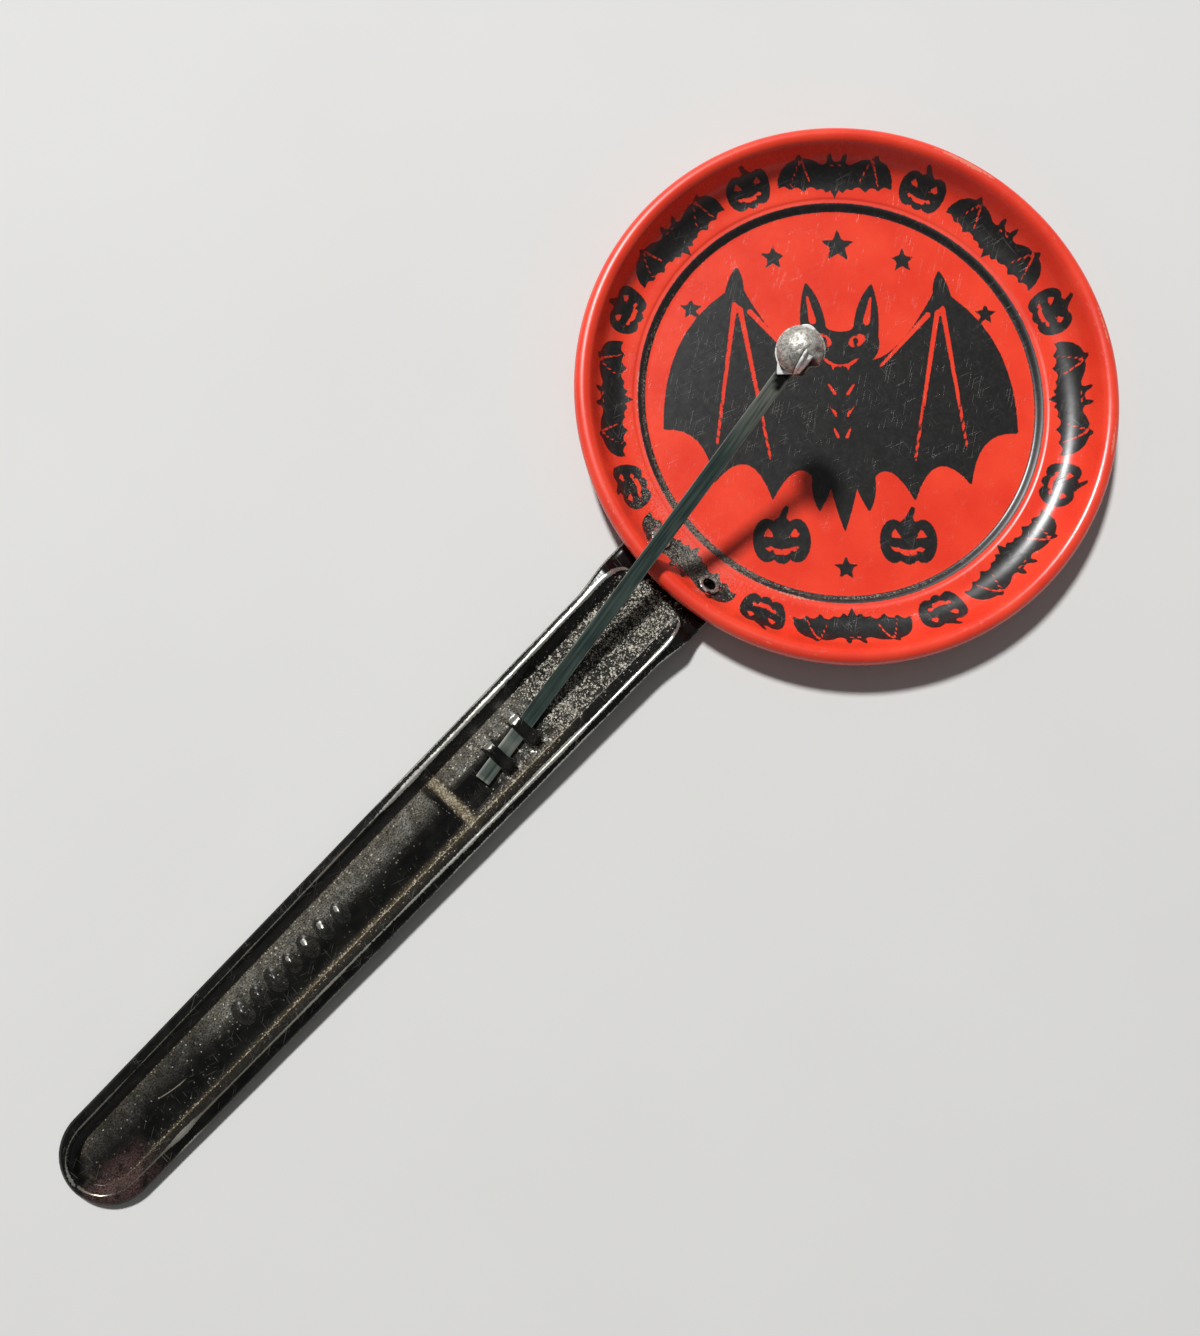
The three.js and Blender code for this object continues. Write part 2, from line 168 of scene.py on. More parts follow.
def turned_tree():
    """Geometry nodes that turn a profile line about the vertical axis."""
    tree, given, result = new_tree(
        "turned tin", "GeometryNodeTree",
        [("Profile", "Geometry", None), ("Segments", "Int", 64),
         ("Path radius", "Float", 1.0), ("Weld", "Float", 1e-6),
         ("Finish", "Material", None)],
        [("Geometry", "Geometry")])
    line = add(tree, "GeometryNodeMeshToCurve", {"Mesh": given["Profile"]})
    circle = add(tree, "GeometryNodeCurvePrimitiveCircle",
                 {"Resolution": given["Segments"], "Radius": given["Path radius"]})
    upright = add(tree, "GeometryNodeSetCurveNormal", {"Curve": circle.outputs["Curve"]}, mode="Z_UP")
    turned = add(tree, "GeometryNodeCurveToMesh",
                 {"Curve": upright.outputs["Curve"], "Profile Curve": line.outputs["Curve"]})
    welded = add(tree, "GeometryNodeMergeByDistance",
                 {"Geometry": turned.outputs["Mesh"], "Distance": given["Weld"]})
    finish_off(tree, welded.outputs["Geometry"], given["Finish"], result)
    return tree


def mesh_object(name, points, edges, faces):
    """A piece from points in metres."""
    mesh = bpy.data.meshes.new(name)
    mesh.from_pydata([tuple(p) for p in points], edges, faces)
    piece = bpy.data.objects.new(name, mesh)
    bpy.context.scene.collection.objects.link(piece)
    return piece


def points_of(piece):
    """A piece's points in millimetres, as a row each for x, y and z."""
    places = np.zeros(len(piece.data.vertices) * 3, np.float32)
    piece.data.vertices.foreach_get("co", places)
    return places.reshape(-1, 3).T.astype(float) / MM


def settled(piece):
    """Turns a piece with its modifiers into a plain mesh."""
    graph = bpy.context.evaluated_depsgraph_get()
    mesh = bpy.data.meshes.new_from_object(piece.evaluated_get(graph), depsgraph=graph)
    piece.modifiers.clear()
    piece.data = mesh
    return piece


def worked(piece, tree, values):
    """Runs a geometry tree on a piece, with values for its inputs by name, and keeps the plain mesh."""
    modifier = piece.modifiers.new(tree.name, "NODES")
    modifier.node_group = tree
    for item in tree.interface.items_tree:
        if item.in_out == "INPUT" and item.name in values:
            modifier[item.identifier] = values[item.name]
    return settled(piece)


def facing_out(piece):
    """Merges doubles and makes every face of a closed piece point outwards."""
    work = bmesh.new()
    work.from_mesh(piece.data)
    bmesh.ops.remove_doubles(work, verts=work.verts, dist=1e-7)
    bmesh.ops.recalc_face_normals(work, faces=work.faces)
    work.to_mesh(piece.data)
    work.free()
    return piece


TURNED = turned_tree()


def turned_piece(name, profile, segments, finish):
    """A piece turned from a closed profile of radii and heights in millimetres."""
    path = 1.0
    points = [((r - path) * MM, -z * MM, 0) for r, z in profile]
    last = len(points)
    piece = mesh_object(name, points, [(i, (i + 1) % last) for i in range(last)], [])
    worked(piece, TURNED, {"Segments": segments, "Path radius": path * MM, "Finish": finish})
    return facing_out(piece)


def skin(rows, wide, closed=True, first=0):
    """Faces between rows of points. A closed row runs round into itself."""
    faces = []
    for low in range(first, first + (rows - 1) * wide, wide):
        for i in range(wide if closed else wide - 1):
            after = (i + 1) % wide
            faces.append((low + i, low + after, low + wide + after, low + wide + i))
    return faces


def cut_with(piece, tools):
    """Cuts other pieces out of a piece and removes them."""
    for tool in tools:
        cut = piece.modifiers.new("cut", "BOOLEAN")
        cut.object = tool
        cut.solver = "EXACT"
    settled(piece)
    for tool in tools:
        bpy.data.objects.remove(tool)


# Rivet places, in the cove. The holes go through the pan and the handle's tongue.
rivet_radius = wall_outer - 2.6
rivet_y = 4.7
rivet_x = -math.sqrt(rivet_radius ** 2 - rivet_y ** 2)
rivet_hole = 1.35


def in_cove(side):
    """The place of a rivet: square to the cove, at its upper face."""
    turn = Matrix.Rotation(math.atan2(side * rivet_y, rivet_x), 4, "Z")
    lean = Matrix.Rotation(-float(cove_lean(rivet_radius)), 4, "Y")
    place = Vector((rivet_x, side * rivet_y, float(cove_level(rivet_radius))))
    return Matrix.Translation(place * MM) @ turn @ lean


def rivet_drills():
    drills = []
    around, reach = 40, 2
    for side in (1, -1):
        turns = [math.tau * i / around for i in range(around)]
        ring = [(rivet_hole * MM * math.cos(a), rivet_hole * MM * math.sin(a)) for a in turns]
        points = [(x, y, z * MM) for z in (-reach, reach) for x, y in ring]
        ends = [tuple(range(around - 1, -1, -1)), tuple(range(around, 2 * around))]
        drill = mesh_object("drill", points, [], skin(2, around) + ends)
        drill.data.transform(in_cove(side))
        drills.append(drill)
    return drills


# The print. Outlines are in millimetres, with the figure upright: each point ends a stretch, which
# is straight or bends towards the second point that is given.
def drawn(stretches, steps=8):
    """An outline from its right half."""
    half = [stretches[0][0]]
    for end, pull in stretches[1:]:
        if pull is None:
            half.append(end)
            continue
        a, b, c = (np.array(p, float) for p in (half[-1], end, pull))
        for i in range(1, steps + 1):
            t = i / steps
            half.append(tuple((1 - t) ** 2 * a + 2 * t * (1 - t) * c + t * t * b))
    return half + [(-x, y) for x, y in reversed(half) if abs(x) > 1e-6]


def star_outline(radius, points=5, waist=0.42):
    tips = []
    for i in range(2 * points):
        angle = math.pi / 2 + math.pi * i / points
        reach = radius if i % 2 == 0 else radius * waist
        tips.append((reach * math.cos(angle), reach * math.sin(angle)))
    return tips


BAT = drawn([
    ((0, 9.4), None), ((2.0, 9.9), (1.0, 9.4)), ((4.9, 16.8), (2.5, 14.4)), ((5.7, 8.8), (6.2, 13.2)),
    ((4.7, 5.2), (6.2, 6.6)), ((14.0, 15.4), (8.8, 6.0)), ((15.0, 19.0), (14.0, 17.6)),
    ((16.8, 15.0), (16.2, 17.6)), ((26.0, -5.6), (26.2, 8.4)), ((18.8, -13.4), (19.8, -5.0)),
    ((10.4, -15.8), (13.4, -6.6)), ((4.6, -12.2), (7.0, -9.4)), ((3.6, -17.4), (5.0, -15.2)),
    ((1.9, -14.0), (2.4, -15.4)), ((0, -20.4), (1.1, -17.4))])

FLYER = drawn([
    ((0, 1.5), None), ((0.5, 1.7), None), ((1.05, 2.9), (0.6, 2.4)), ((1.2, 1.5), (1.3, 2.3)),
    ((2.2, 1.4), (1.6, 1.0)), ((4.4, 2.3), (3.2, 2.2)), ((4.9, 3.2), None), ((5.2, 2.3), None),
    ((7.9, -1.2), (7.4, 1.9)), ((6.1, -1.6), (6.8, -0.3)), ((4.3, -2.1), (5.1, -0.7)),
    ((2.4, -2.0), (3.3, -0.8)), ((1.2, -2.4), (1.7, -1.4)), ((0.6, -2.0), None), ((0, -3.1), None)], 4)


def polygon_gap(x, y, outline):
    """Signed distance from points to an outline, negative inside it."""
    corners = np.array(outline, float)
    nearest = np.full(x.shape, 1e9)
    inside = np.zeros(x.shape, bool)
    for (ax, ay), (bx, by) in zip(corners, np.roll(corners, -1, axis=0)):
        dx, dy = bx - ax, by - ay
        t = np.clip(((x - ax) * dx + (y - ay) * dy) / max(dx * dx + dy * dy, 1e-12), 0, 1)
        nearest = np.minimum(nearest, (x - ax - t * dx) ** 2 + (y - ay - t * dy) ** 2)
        if ay != by:
            crossing = ax + (y - ay) * dx / dy
            inside ^= ((ay > y) != (by > y)) & (x < crossing)
    return np.where(inside, -1, 1) * np.sqrt(nearest)


def line_gap(x, y, start, end, wide, narrow):
    """Distance to a stroke that tapers from its wide end to its narrow end."""
    dx, dy = end[0] - start[0], end[1] - start[1]
    t = np.clip(((x - start[0]) * dx + (y - start[1]) * dy) / (dx * dx + dy * dy), 0, 1)
    return np.hypot(x - start[0] - t * dx, y - start[1] - t * dy) - (wide + (narrow - wide) * t) / 2


def ellipse_gap(x, y, middle, half_width, half_height, tilt=0.0):
    u = (x - middle[0]) * math.cos(tilt) + (y - middle[1]) * math.sin(tilt)
    v = (y - middle[1]) * math.cos(tilt) - (x - middle[0]) * math.sin(tilt)
    return (np.hypot(u / half_width, v / half_height) - 1) * min(half_width, half_height)


def big_bat(x, y):
    body = polygon_gap(x, y, BAT)
    x = np.abs(x)
    pupil = ellipse_gap(x, y, (2.3, 8.0), 0.4, 0.55)
    eye = np.maximum(ellipse_gap(x, y, (2.5, 8.1), 1.35, 0.85, 0.5), -pupil)
    ear = ((4.0, 11.0), (4.7, 14.6), 1.1, 0.3)
    bones = [((15.4, 13.2), (18.3, -7.6), 0.75, 0.4), ((14.6, 12.6), (10.6, -9.6), 0.75, 0.4),
             ((6.0, 4.4), (13.2, 12.2), 0.4, 0.8)]
    chest = [((reach, level + 0.9), (reach * 0.5, level - 0.5), 0.25, 0.5)
             for level, reach in ((0.6, 1.9), (-2.6, 1.7), (-5.8, 1.3))]
    from_nose = np.hypot(x, y - 7.4)
    mouth = np.maximum.reduce([from_nose - 3.4, 2.95 - from_nose, y - 5.4])
    tooth = polygon_gap(x, y, [(0.7, 4.45), (1.5, 4.75), (1.15, 3.5)])
    strokes = [line_gap(x, y, *stroke) for stroke in [ear] + bones + chest]
    return np.maximum(body, -np.minimum.reduce([eye, mouth, tooth] + strokes))


def lantern(x, y, size):
    """A ribbed pumpkin with a cut face, as wide as its size."""
    s = size / 10
    middle = ellipse_gap(x, y, (0, 0), 2.3 * s, 4.1 * s)
    x_side = np.abs(x)
    side = ellipse_gap(x_side, y, (2.6 * s, 0), 2.4 * s, 3.8 * s)
    stalk = line_gap(x, y, (0, 3.6 * s), (0.9 * s, 5.6 * s), 1.3 * s, 0.9 * s)
    eye = [(1.1, 0.5), (3.3, 0.7), (2.3, 2.2)]
    grin = [(0, -2.6), (1.3, -2.3), (1.6, -1.6), (2.2, -2.0), (3.5, -0.7), (2.5, -1.1), (1.9, -1.0),
            (1.2, -1.4), (0, -1.5)]
    cuts = [polygon_gap(x_side, y, [(u * s, v * s) for u, v in cut]) for cut in (eye, grin)]
    return np.maximum(np.minimum.reduce([middle, side, stalk]), -np.minimum.reduce(cuts))


PICTURE_UP = math.radians(44.2)  # the printed figure's upright, round from the handle's line
FRIEZE_PAIRS, FRIEZE_SIZE = 8, 1.12
FRIEZE_MIDDLE, FRIEZE_SPREAD = 33.75, 33.4  # radii of the figures' middles, and of their true width
STARS = ((0, 23.4, 2.7), (-9.6, 21.4, 2.0), (9.6, 21.4, 2.0), (-21.8, 13.4, 1.8), (21.8, 13.4, 1.8),
         (0, -24.6, 1.9))


def print_gap(x, y):
    """Distance to the black print over the whole dish, negative inside it."""
    radius = np.hypot(x, y)
    v = x * math.cos(PICTURE_UP) + y * math.sin(PICTURE_UP)
    u = x * math.sin(PICTURE_UP) - y * math.cos(PICTURE_UP)
    gap = np.full(x.shape, 9.0)
    disc = radius < disc_radius - 0.2
    u, v = u[disc], v[disc]
    figures = [big_bat(u, v - 1.0)]
    figures += [polygon_gap(u - su, v - sv, star_outline(size)) for su, sv, size in STARS]
    figures += [lantern(u - su, v + 20.6, 8.4) for su in (-9.2, 9.2)]
    gap[disc] = np.minimum.reduce(figures)
    gap = np.minimum(gap, np.abs(radius - (disc_radius + step_outer) / 2) - step_width / 2)
    band = (radius > step_outer + 0.3) & (radius < wall_outer - 0.1)
    pitch = math.tau / FRIEZE_PAIRS
    turn = np.arctan2(y[band], x[band]) / pitch
    in_band = np.maximum(radius[band], cove_inner)
    out = along_cove(in_band) - along_cove(FRIEZE_MIDDLE) - (in_band - radius[band])
    out = out / FRIEZE_SIZE
    along = (turn - np.round(turn)) * pitch * FRIEZE_SPREAD / FRIEZE_SIZE
    between = (turn - np.floor(turn) - 0.5) * pitch * FRIEZE_SPREAD / FRIEZE_SIZE
    wing = np.abs(along)
    bones = [line_gap(wing, out, start, end, 0.28, 0.16)
             for start, end in (((4.6, 1.9), (5.9, -0.9)), ((4.3, 1.8), (3.3, -0.9)))]
    eye = ellipse_gap(wing, out, (0.5, 1.15), 0.26, 0.17, 0.4)
    flyer = np.maximum(polygon_gap(along, out, FLYER), -np.minimum.reduce(bones + [eye]))
    frieze = np.minimum(flyer, lantern(between, out, 6.0))
    gap[band] = np.minimum(gap[band], frieze * FRIEZE_SIZE)
    return gap


def mark(piece, **marks):
    """Gives the points of a piece values by name, for its finish to read."""
    for name, values in marks.items():
        attribute = piece.data.attributes.new(name, "FLOAT", "POINT")
        attribute.data.foreach_set("value", np.asarray(values, np.float32))


# What the finishes share: places in millimetres, and groups for speckle, scratches and rubbed edges.
class Amount:
    """A value over the surface. Arithmetic on it adds the nodes that work it out."""

    def __init__(self, socket):
        self.socket, self.tree = socket, socket.id_data

    def __add__(self, other):
        return maths("ADD", self, other)

    def __sub__(self, other):
        return maths("SUBTRACT", self, other)

    def __rsub__(self, other):
        return maths("SUBTRACT", other, self)

    def __mul__(self, other):
        return maths("MULTIPLY", self, other)

    def __truediv__(self, other):
        return maths("DIVIDE", self, other)

    def __rtruediv__(self, other):
        return maths("DIVIDE", other, self)

    def __abs__(self):
        return maths("ABSOLUTE", self)

    __radd__, __rmul__ = __add__, __mul__


def maths(operation, *values):
    tree = next(value.tree for value in values if isinstance(value, Amount))
    return Amount(add(tree, "ShaderNodeMath", dict(enumerate(values)), operation=operation).outputs[0])


def most(first, *others):
    """The greatest of some amounts, point by point."""
    for other in others:
        first = maths("MAXIMUM", first, other)
    return first


def fade(value, low, high):
    """0 below low and 1 above high; high may be the lower of the two."""
    made = add(value.tree, "ShaderNodeMapRange", {"Value": value, "From Min": low, "From Max": high},
               interpolation_type="SMOOTHSTEP")
    return Amount(made.outputs["Result"])


def mixed(factor, a, b):
    """From one colour to another. A plain colour is red, green and blue."""
    a, b = ((*colour, 1) if isinstance(colour, tuple) else colour for colour in (a, b))
    return Amount(add(factor.tree, "ShaderNodeMix", {0: factor, 6: a, 7: b}, data_type="RGBA").outputs[2])


def layered(colour, *coats):
    """Colours laid one over another, each as far as its amount says."""
    for amount, coat in coats:
        colour = mixed(amount, colour, coat)
    return colour


def cloud(place, size, detail):
    """Noise with features of that size in millimetres."""
    made = add(place.tree, "ShaderNodeTexNoise", {"Vector": place, "Scale": 1 / size, "Detail": detail})
    return Amount(made.outputs["Fac"])


def patches(place, size, detail, low, high):
    return fade(cloud(place, size, detail), low, high)


def with_place(operation, place, other):
    made = add(place.tree, "ShaderNodeVectorMath", {0: place, 1: other}, operation=operation)
    return Amount(made.outputs["Value" if operation == "DISTANCE" else "Vector"])


def moved(place, **inputs):
    return Amount(add(place.tree, "ShaderNodeMapping", {"Vector": place, **inputs}).outputs[0])


def feed(inputs, **values):
    """Links amounts to the inputs of a shader, or of the end of a group, by name."""
    for key, value in values.items():
        socket = inputs[key.replace("_", " ")]
        socket.id_data.links.new(value.socket, socket)


def new_effect(name, numbers, outputs):
    """An empty group that takes a place and some numbers, with its own values for them."""
    inputs = [("Place", "Vector", None)]
    inputs += [(label, "Float", value) for label, value in numbers.items()]
    tree, given, result = new_tree(name, "ShaderNodeTree", inputs,
                                   [(label, "Float") for label in outputs])
    return tree, {label: Amount(given[label]) for label in ("Place", *numbers)}, result


def grains_group():
    """Separate grains of dust and dirt of two sizes, more of them where the cover is high."""
    tree, given, result = new_effect("grains", {"Grain": 0.3, "Cover": 0.5}, ["Mask", "Tone"])
    cover = given["Cover"] * (cloud(given["Place"], 1 / 0.3, 3) * 2.2 - 0.25)
    masks, tones = [], []
    for ratio, share in ((1.0, 0.9), (2.1, 0.45)):
        cells = add(tree, "ShaderNodeTexVoronoi",
                    {"Vector": given["Place"], "Scale": 1 / ratio / given["Grain"]}).outputs
        chance = add(tree, "ShaderNodeSeparateColor", {0: cells["Color"]}).outputs
        there = fade(cover * share - Amount(chance[0]), 0.0, 0.06)
        masks.append(there * fade(Amount(cells["Distance"]), 0.75, 0.35))
        tones.append(Amount(chance[1]))
    feed(result, Mask=most(*masks), Tone=tones[0])
    return tree


def scratches_group():
    """Fine straight scratches in three directions, broken into short stretches."""
    tree, given, result = new_effect("scratches", {"Length": 6.0, "Width": 0.12, "Cover": 0.3}, ["Mask"])
    stretch = add(tree, "ShaderNodeCombineXYZ",
                  {"X": 1 / given["Length"], "Y": 1 / given["Width"], "Z": 0.2}).outputs[0]
    limit = 0.8 - given["Cover"] * 0.2
    lines = []
    for turn, shift in ((0.35, 3.0), (1.7, 11.0), (2.6, 29.0)):
        turned = moved(given["Place"], Rotation=(0, 0, turn), Location=(shift, shift, 0))
        lines.append(fade(cloud(with_place("MULTIPLY", turned, stretch), 1, 1) - limit, 0.0, 0.03))
    feed(result, Mask=most(*lines) * patches(given["Place"], 1 / 0.35, 2, 0.45, 0.6))
    return tree


def rubbed_group():
    """Finish rubbed through along an edge: full at the edge, broken up and gone past its reach."""
    tree, given, result = new_effect(
        "rubbed edge", {"Distance": 1.0, "Reach": 0.3, "Break": 0.5, "Chip": 0.4}, ["Mask"])
    fine = (cloud(given["Place"], given["Chip"], 3) - 0.5) * 3.0
    broad = (cloud(given["Place"], 1 / 0.12, 2) - 0.5) * 5.0
    spoiled = given["Distance"] / given["Reach"] + (fine + broad) * given["Break"]
    feed(result, Mask=fade(spoiled, 1.15, 0.85))
    return tree


GRAINS, SCRATCHES, RUBBED = grains_group(), scratches_group(), rubbed_group()


def effect(group, **inputs):
    """A group put to use: its outputs by name."""
    made = add(inputs["Place"].tree, "ShaderNodeGroup", inputs, node_tree=group)
    return {socket.name: Amount(socket) for socket in made.outputs}


def new_finish(name, **constants):
    """A material, its shader, the place on it in millimetres, and a way to read its marks."""
    material = bpy.data.materials.new(name)
    material.use_nodes = True
    tree = material.node_tree
    shader = tree.nodes["Principled BSDF"]
    for key, value in constants.items():
        shader.inputs[key].default_value = value
    place = Amount(add(tree, "ShaderNodeTexCoord").outputs["Object"])

    def read(label):
        return Amount(add(tree, "ShaderNodeAttribute", attribute_name=label).outputs["Fac"])

    return material, shader, with_place("MULTIPLY", place, (1 / MM, 1 / MM, 1 / MM)), read


def bumped(shader, height, distance):
    """Height is 0 to 1, and distance is its depth in millimetres."""
    made = add(height.tree, "ShaderNodeBump", {"Height": height, "Distance": distance * MM, "Strength": 1.0})
    feed(shader.inputs, Normal=Amount(made.outputs["Normal"]))


def litho_finish():
    """Glossy red enamel with matt black print, scratched, and rubbed at the rim and the ring."""
    material, shader, place, read = new_finish("red litho tin", IOR=1.66)
    back, grime, rim_gap = read("back"), read("grime"), read("rim_gap")
    ragged = (cloud(place, 0.35, 3) - 0.5) * 0.22
    black = fade(read("print_gap") + ragged, 0.05, -0.05)
    red = mixed(patches(place, 9, 3, 0.3, 0.7), (0.78, 0.036, 0.013), (0.88, 0.056, 0.021))
    soot = mixed(patches(place, 0.5, 4, 0.4, 0.75), (0.0045, 0.0042, 0.004), (0.013, 0.012, 0.011))
    lines = effect(SCRATCHES, Place=place, Length=5.0, Width=0.11, Cover=0.62)["Mask"]
    pale = mixed(black, (0.90, 0.16, 0.09), (0.11, 0.10, 0.09))
    dirt = effect(GRAINS, Place=place, Grain=0.15, Cover=grime)
    smear = grime * patches(place, 0.6, 4, 0.4, 0.65) * black
    dust = mixed(dirt["Tone"], (0.03, 0.027, 0.022), (0.34, 0.31, 0.25))
    worn = effect(RUBBED, Place=place, Distance=rim_gap, Reach=0.2, Break=1.1, Chip=0.45)["Mask"]
    tarnish = mixed(patches(place, 3, 4, 0.35, 0.7), (0.46, 0.44, 0.40), (0.30, 0.28, 0.24))
    colour = layered(red, (black, soot), (lines * (black * 0.4 + 0.12), pale),
                     (smear * 0.8, (0.085, 0.078, 0.062)), (dirt["Mask"] * (black * 0.75 + 0.12), dust),
                     (worn * 0.55, (0.80, 0.33, 0.22)), (back, tarnish))
    on_bead = fade(rim_gap, 1.3, 0.5)
    gloss = 0.225 + black * 0.06 + on_bead * 0.13 + cloud(place, 1.2, 4) * 0.1 + dirt["Mask"] * 0.35
    feed(shader.inputs, Base_Color=colour, Roughness=gloss, Metallic=back * 0.9)
    bumped(shader, cloud(place, 1.6, 2) * 0.6 + most(lines, dirt["Mask"]) * -0.4, 0.018)
    return material


def make_pan():
    bead_rings = 18
    upper = pan_profile(58, 8, 5, 18, bead_rings)
    under = pan_profile(6, 3, 2, 8, 14)
    profile = [(r, z) for r, z, lean in upper]
    profile += [(r + TIN * math.sin(a), z - TIN * math.cos(a)) for r, z, a in reversed(under)]
    pan = turned_piece("pan_dish", profile, 600, litho_finish())
    cut_with(pan, rivet_drills())
    x, y, z = points_of(pan)
    radius, turn = np.hypot(x, y), np.arctan2(y, x)
    face = np.array(upper[:-bead_rings])
    below = np.interp(radius, face[:, 0], face[:, 1]) - z
    back = (radius < wall_outer - 0.2) & (below > 0.15)
    curl = np.hypot(radius - bead_middle, z - bead_level)
    at_bead = radius > wall_outer - 0.8
    back |= at_bead & (curl < bead_radius - 0.15)
    back |= at_bead & (radius < bead_middle - 0.6) & (below > 0.2) & (curl > bead_radius + 0.1)
    spoiled = np.maximum.reduce([near(turn, 0.3, 0.35), near(turn, -0.55, 0.3),
                                 near(np.abs(turn), 2.75, 0.35), 0.8 * near(turn, -1.0, 0.45)])
    crest = np.hypot(radius - bead_middle - 0.35, z - rim_level) + 0.5 - 0.42 * spoiled
    ring = np.hypot(radius - step_outer - 0.1, z - ledge_top) + 0.3 - 0.14 * ramp(-x / 25)
    root_x, root_y, root_reach, ledge_radius, ring_radius = -31.0, 1.5, 11, 30.6, 28.95
    from_root = np.hypot(x - root_x, (y - root_y) / 1.6)
    grime = 0.95 * near(from_root, 0, root_reach) * ramp((36.2 - radius) / 1.5) * ramp((radius - 27.5) / 1.0)
    grime += 0.42 * near(radius, ledge_radius, 1.6) * (0.35 + 0.65 * ramp(-x / 30))
    grime += near(radius, ring_radius, 0.5) * (0.2 + 0.6 * ramp(-x / 22))
    mark(pan, back=back, print_gap=np.where(back, 3.0, np.clip(print_gap(x, y), -3, 3)),
         rim_gap=np.minimum(crest, ring), grime=np.where(back, 0.1, np.clip(grime - 0.15, 0, 1)))
    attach(pan, "toy")
    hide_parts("pan")


make_pan()


# Handle. One blank of black japanned tin, pressed to a trough with folded-out edges and a round
# tail. Two straps are lanced up out of its floor, and its flat tongue runs under the pan.
head_x = -rim_radius - 1
nose = {"foot": 4.8, "crest": 5.5, "edge": 6.4}
nose_x = -rim_radius - 110.7 + nose["edge"]
head = {"foot": 4.6, "crest": 6.3, "edge": 7.3}
tail = {"foot": 3.65, "crest": 4.9, "edge": 6.5}
crest_height = 1.7
edge_drop = 0.45
head_level = TIN / 2 + rim_level - TIN - 2 * bead_radius - 1.3
grip_rise = 0.35
grip_x = -rim_radius - 39.9
grip_ramp = 1.8
floor_slope = (TIN / 2 - grip_rise - head_level) / (nose_x - nose["foot"] - head_x)
flare_run, turn_in_run, turn_in = 8.5, 5, 1.6
strap_x = -rim_radius - 27.1
strap_pitch = 5.0
strap_width = 1.65
strap_half_span = 2.6
strap_leg = 0.7
strap_shift = -0.5
strap_lift = TIN + 0.6 + 0.35
strap_places = (strap_x - strap_pitch, strap_x)
slit = 0.25
clearance = 0.3
tongue_half_width = 8.1
tongue_end = -rim_radius + 7.5
tongue_corner = 2.8
tongue_parting = 34.6


def floor_level(x):
    return head_level + floor_slope * (x - head_x) + grip_rise * ramp((grip_x - x) / grip_ramp)


def tongue_level(x, y):
    """The tongue lies along the cove's underside, and beyond it drops to the trough's floor."""
    radius = np.hypot(x, y)
    at = np.minimum(radius, tongue_parting)
    under = cove_level(at) - (1.5 * TIN + clearance) / np.cos(cove_lean(at))
    return under + (head_level - under) * ramp((radius - tongue_parting) / (-head_x - tongue_parting))


def half_section(x, foot, crest, edge, fade_out):
    """Places and heights from the outer edge over the crest to the foot of the wall."""
    floor = floor_level(x)
    top = head_level + floor_slope * (x - head_x) + crest_height
    corners = [(edge, top - edge_drop), (crest, top), (foot, floor), (foot - 2, floor)]
    line = [corners[0], ((edge * 2 + crest) / 3, top - edge_drop * 0.62)]
    for k, radius in ((1, 0.55), (2, 0.5)):
        before, corner, after = (np.array(corners[k + j], float) for j in (-1, 0, 1))
        into, out = corner - before, after - corner
        into, out = into / np.hypot(*into), out / np.hypot(*out)
        turn = math.acos(np.clip(into @ out, -1, 1))
        run = min(radius * math.tan(turn / 2), 0.45 * np.hypot(crest - foot, crest_height))
        a, b = corner - into * run, corner + out * run
        for t in (i / 5 for i in range(6)):
            line.append(tuple((1 - t) ** 2 * a + 2 * t * (1 - t) * corner + t * t * b))
    return [(y, floor + (z - floor) * fade_out) for y, z in line]


def across_lines():
    """Places across the floor, some of them at the ends of the straps' legs."""
    offsets = [strap_half_span - strap_leg * share for share in (0, 0.25, 0.5, 0.75, 1)] + [1.2, 0.5]
    return sorted((strap_shift + side * offset for side in (-1, 1) for offset in offsets), reverse=True)


def handle_stations():
    """Places along the handle, close together where its form changes."""
    ramp_start, half = grip_x - grip_ramp, strap_width / 2
    stations = list(np.arange(nose_x, ramp_start - 1.6, 1.1))
    stations += list(np.linspace(ramp_start - 1.4, ramp_start - 0.14, 10))
    stations += list(np.linspace(ramp_start, grip_x, 8))
    stations += list(np.linspace(grip_x + 0.8, strap_x - strap_pitch - 1.6, 5))
    for middle in strap_places:
        stations += [middle + s for s in (-half - slit, -half, -half * 0.6, 0, half * 0.6, half, half + slit)]
        if middle < strap_x:
            stations += list(np.linspace(middle + half + slit, strap_x - half - slit, 5)[1:-1])
    stations += list(np.arange(strap_x + 2, head_x - turn_in_run, 1.1))
    stations += [head_x - turn_in_run * (1 - t) for t in np.linspace(0, 1, 13)]
    return stations


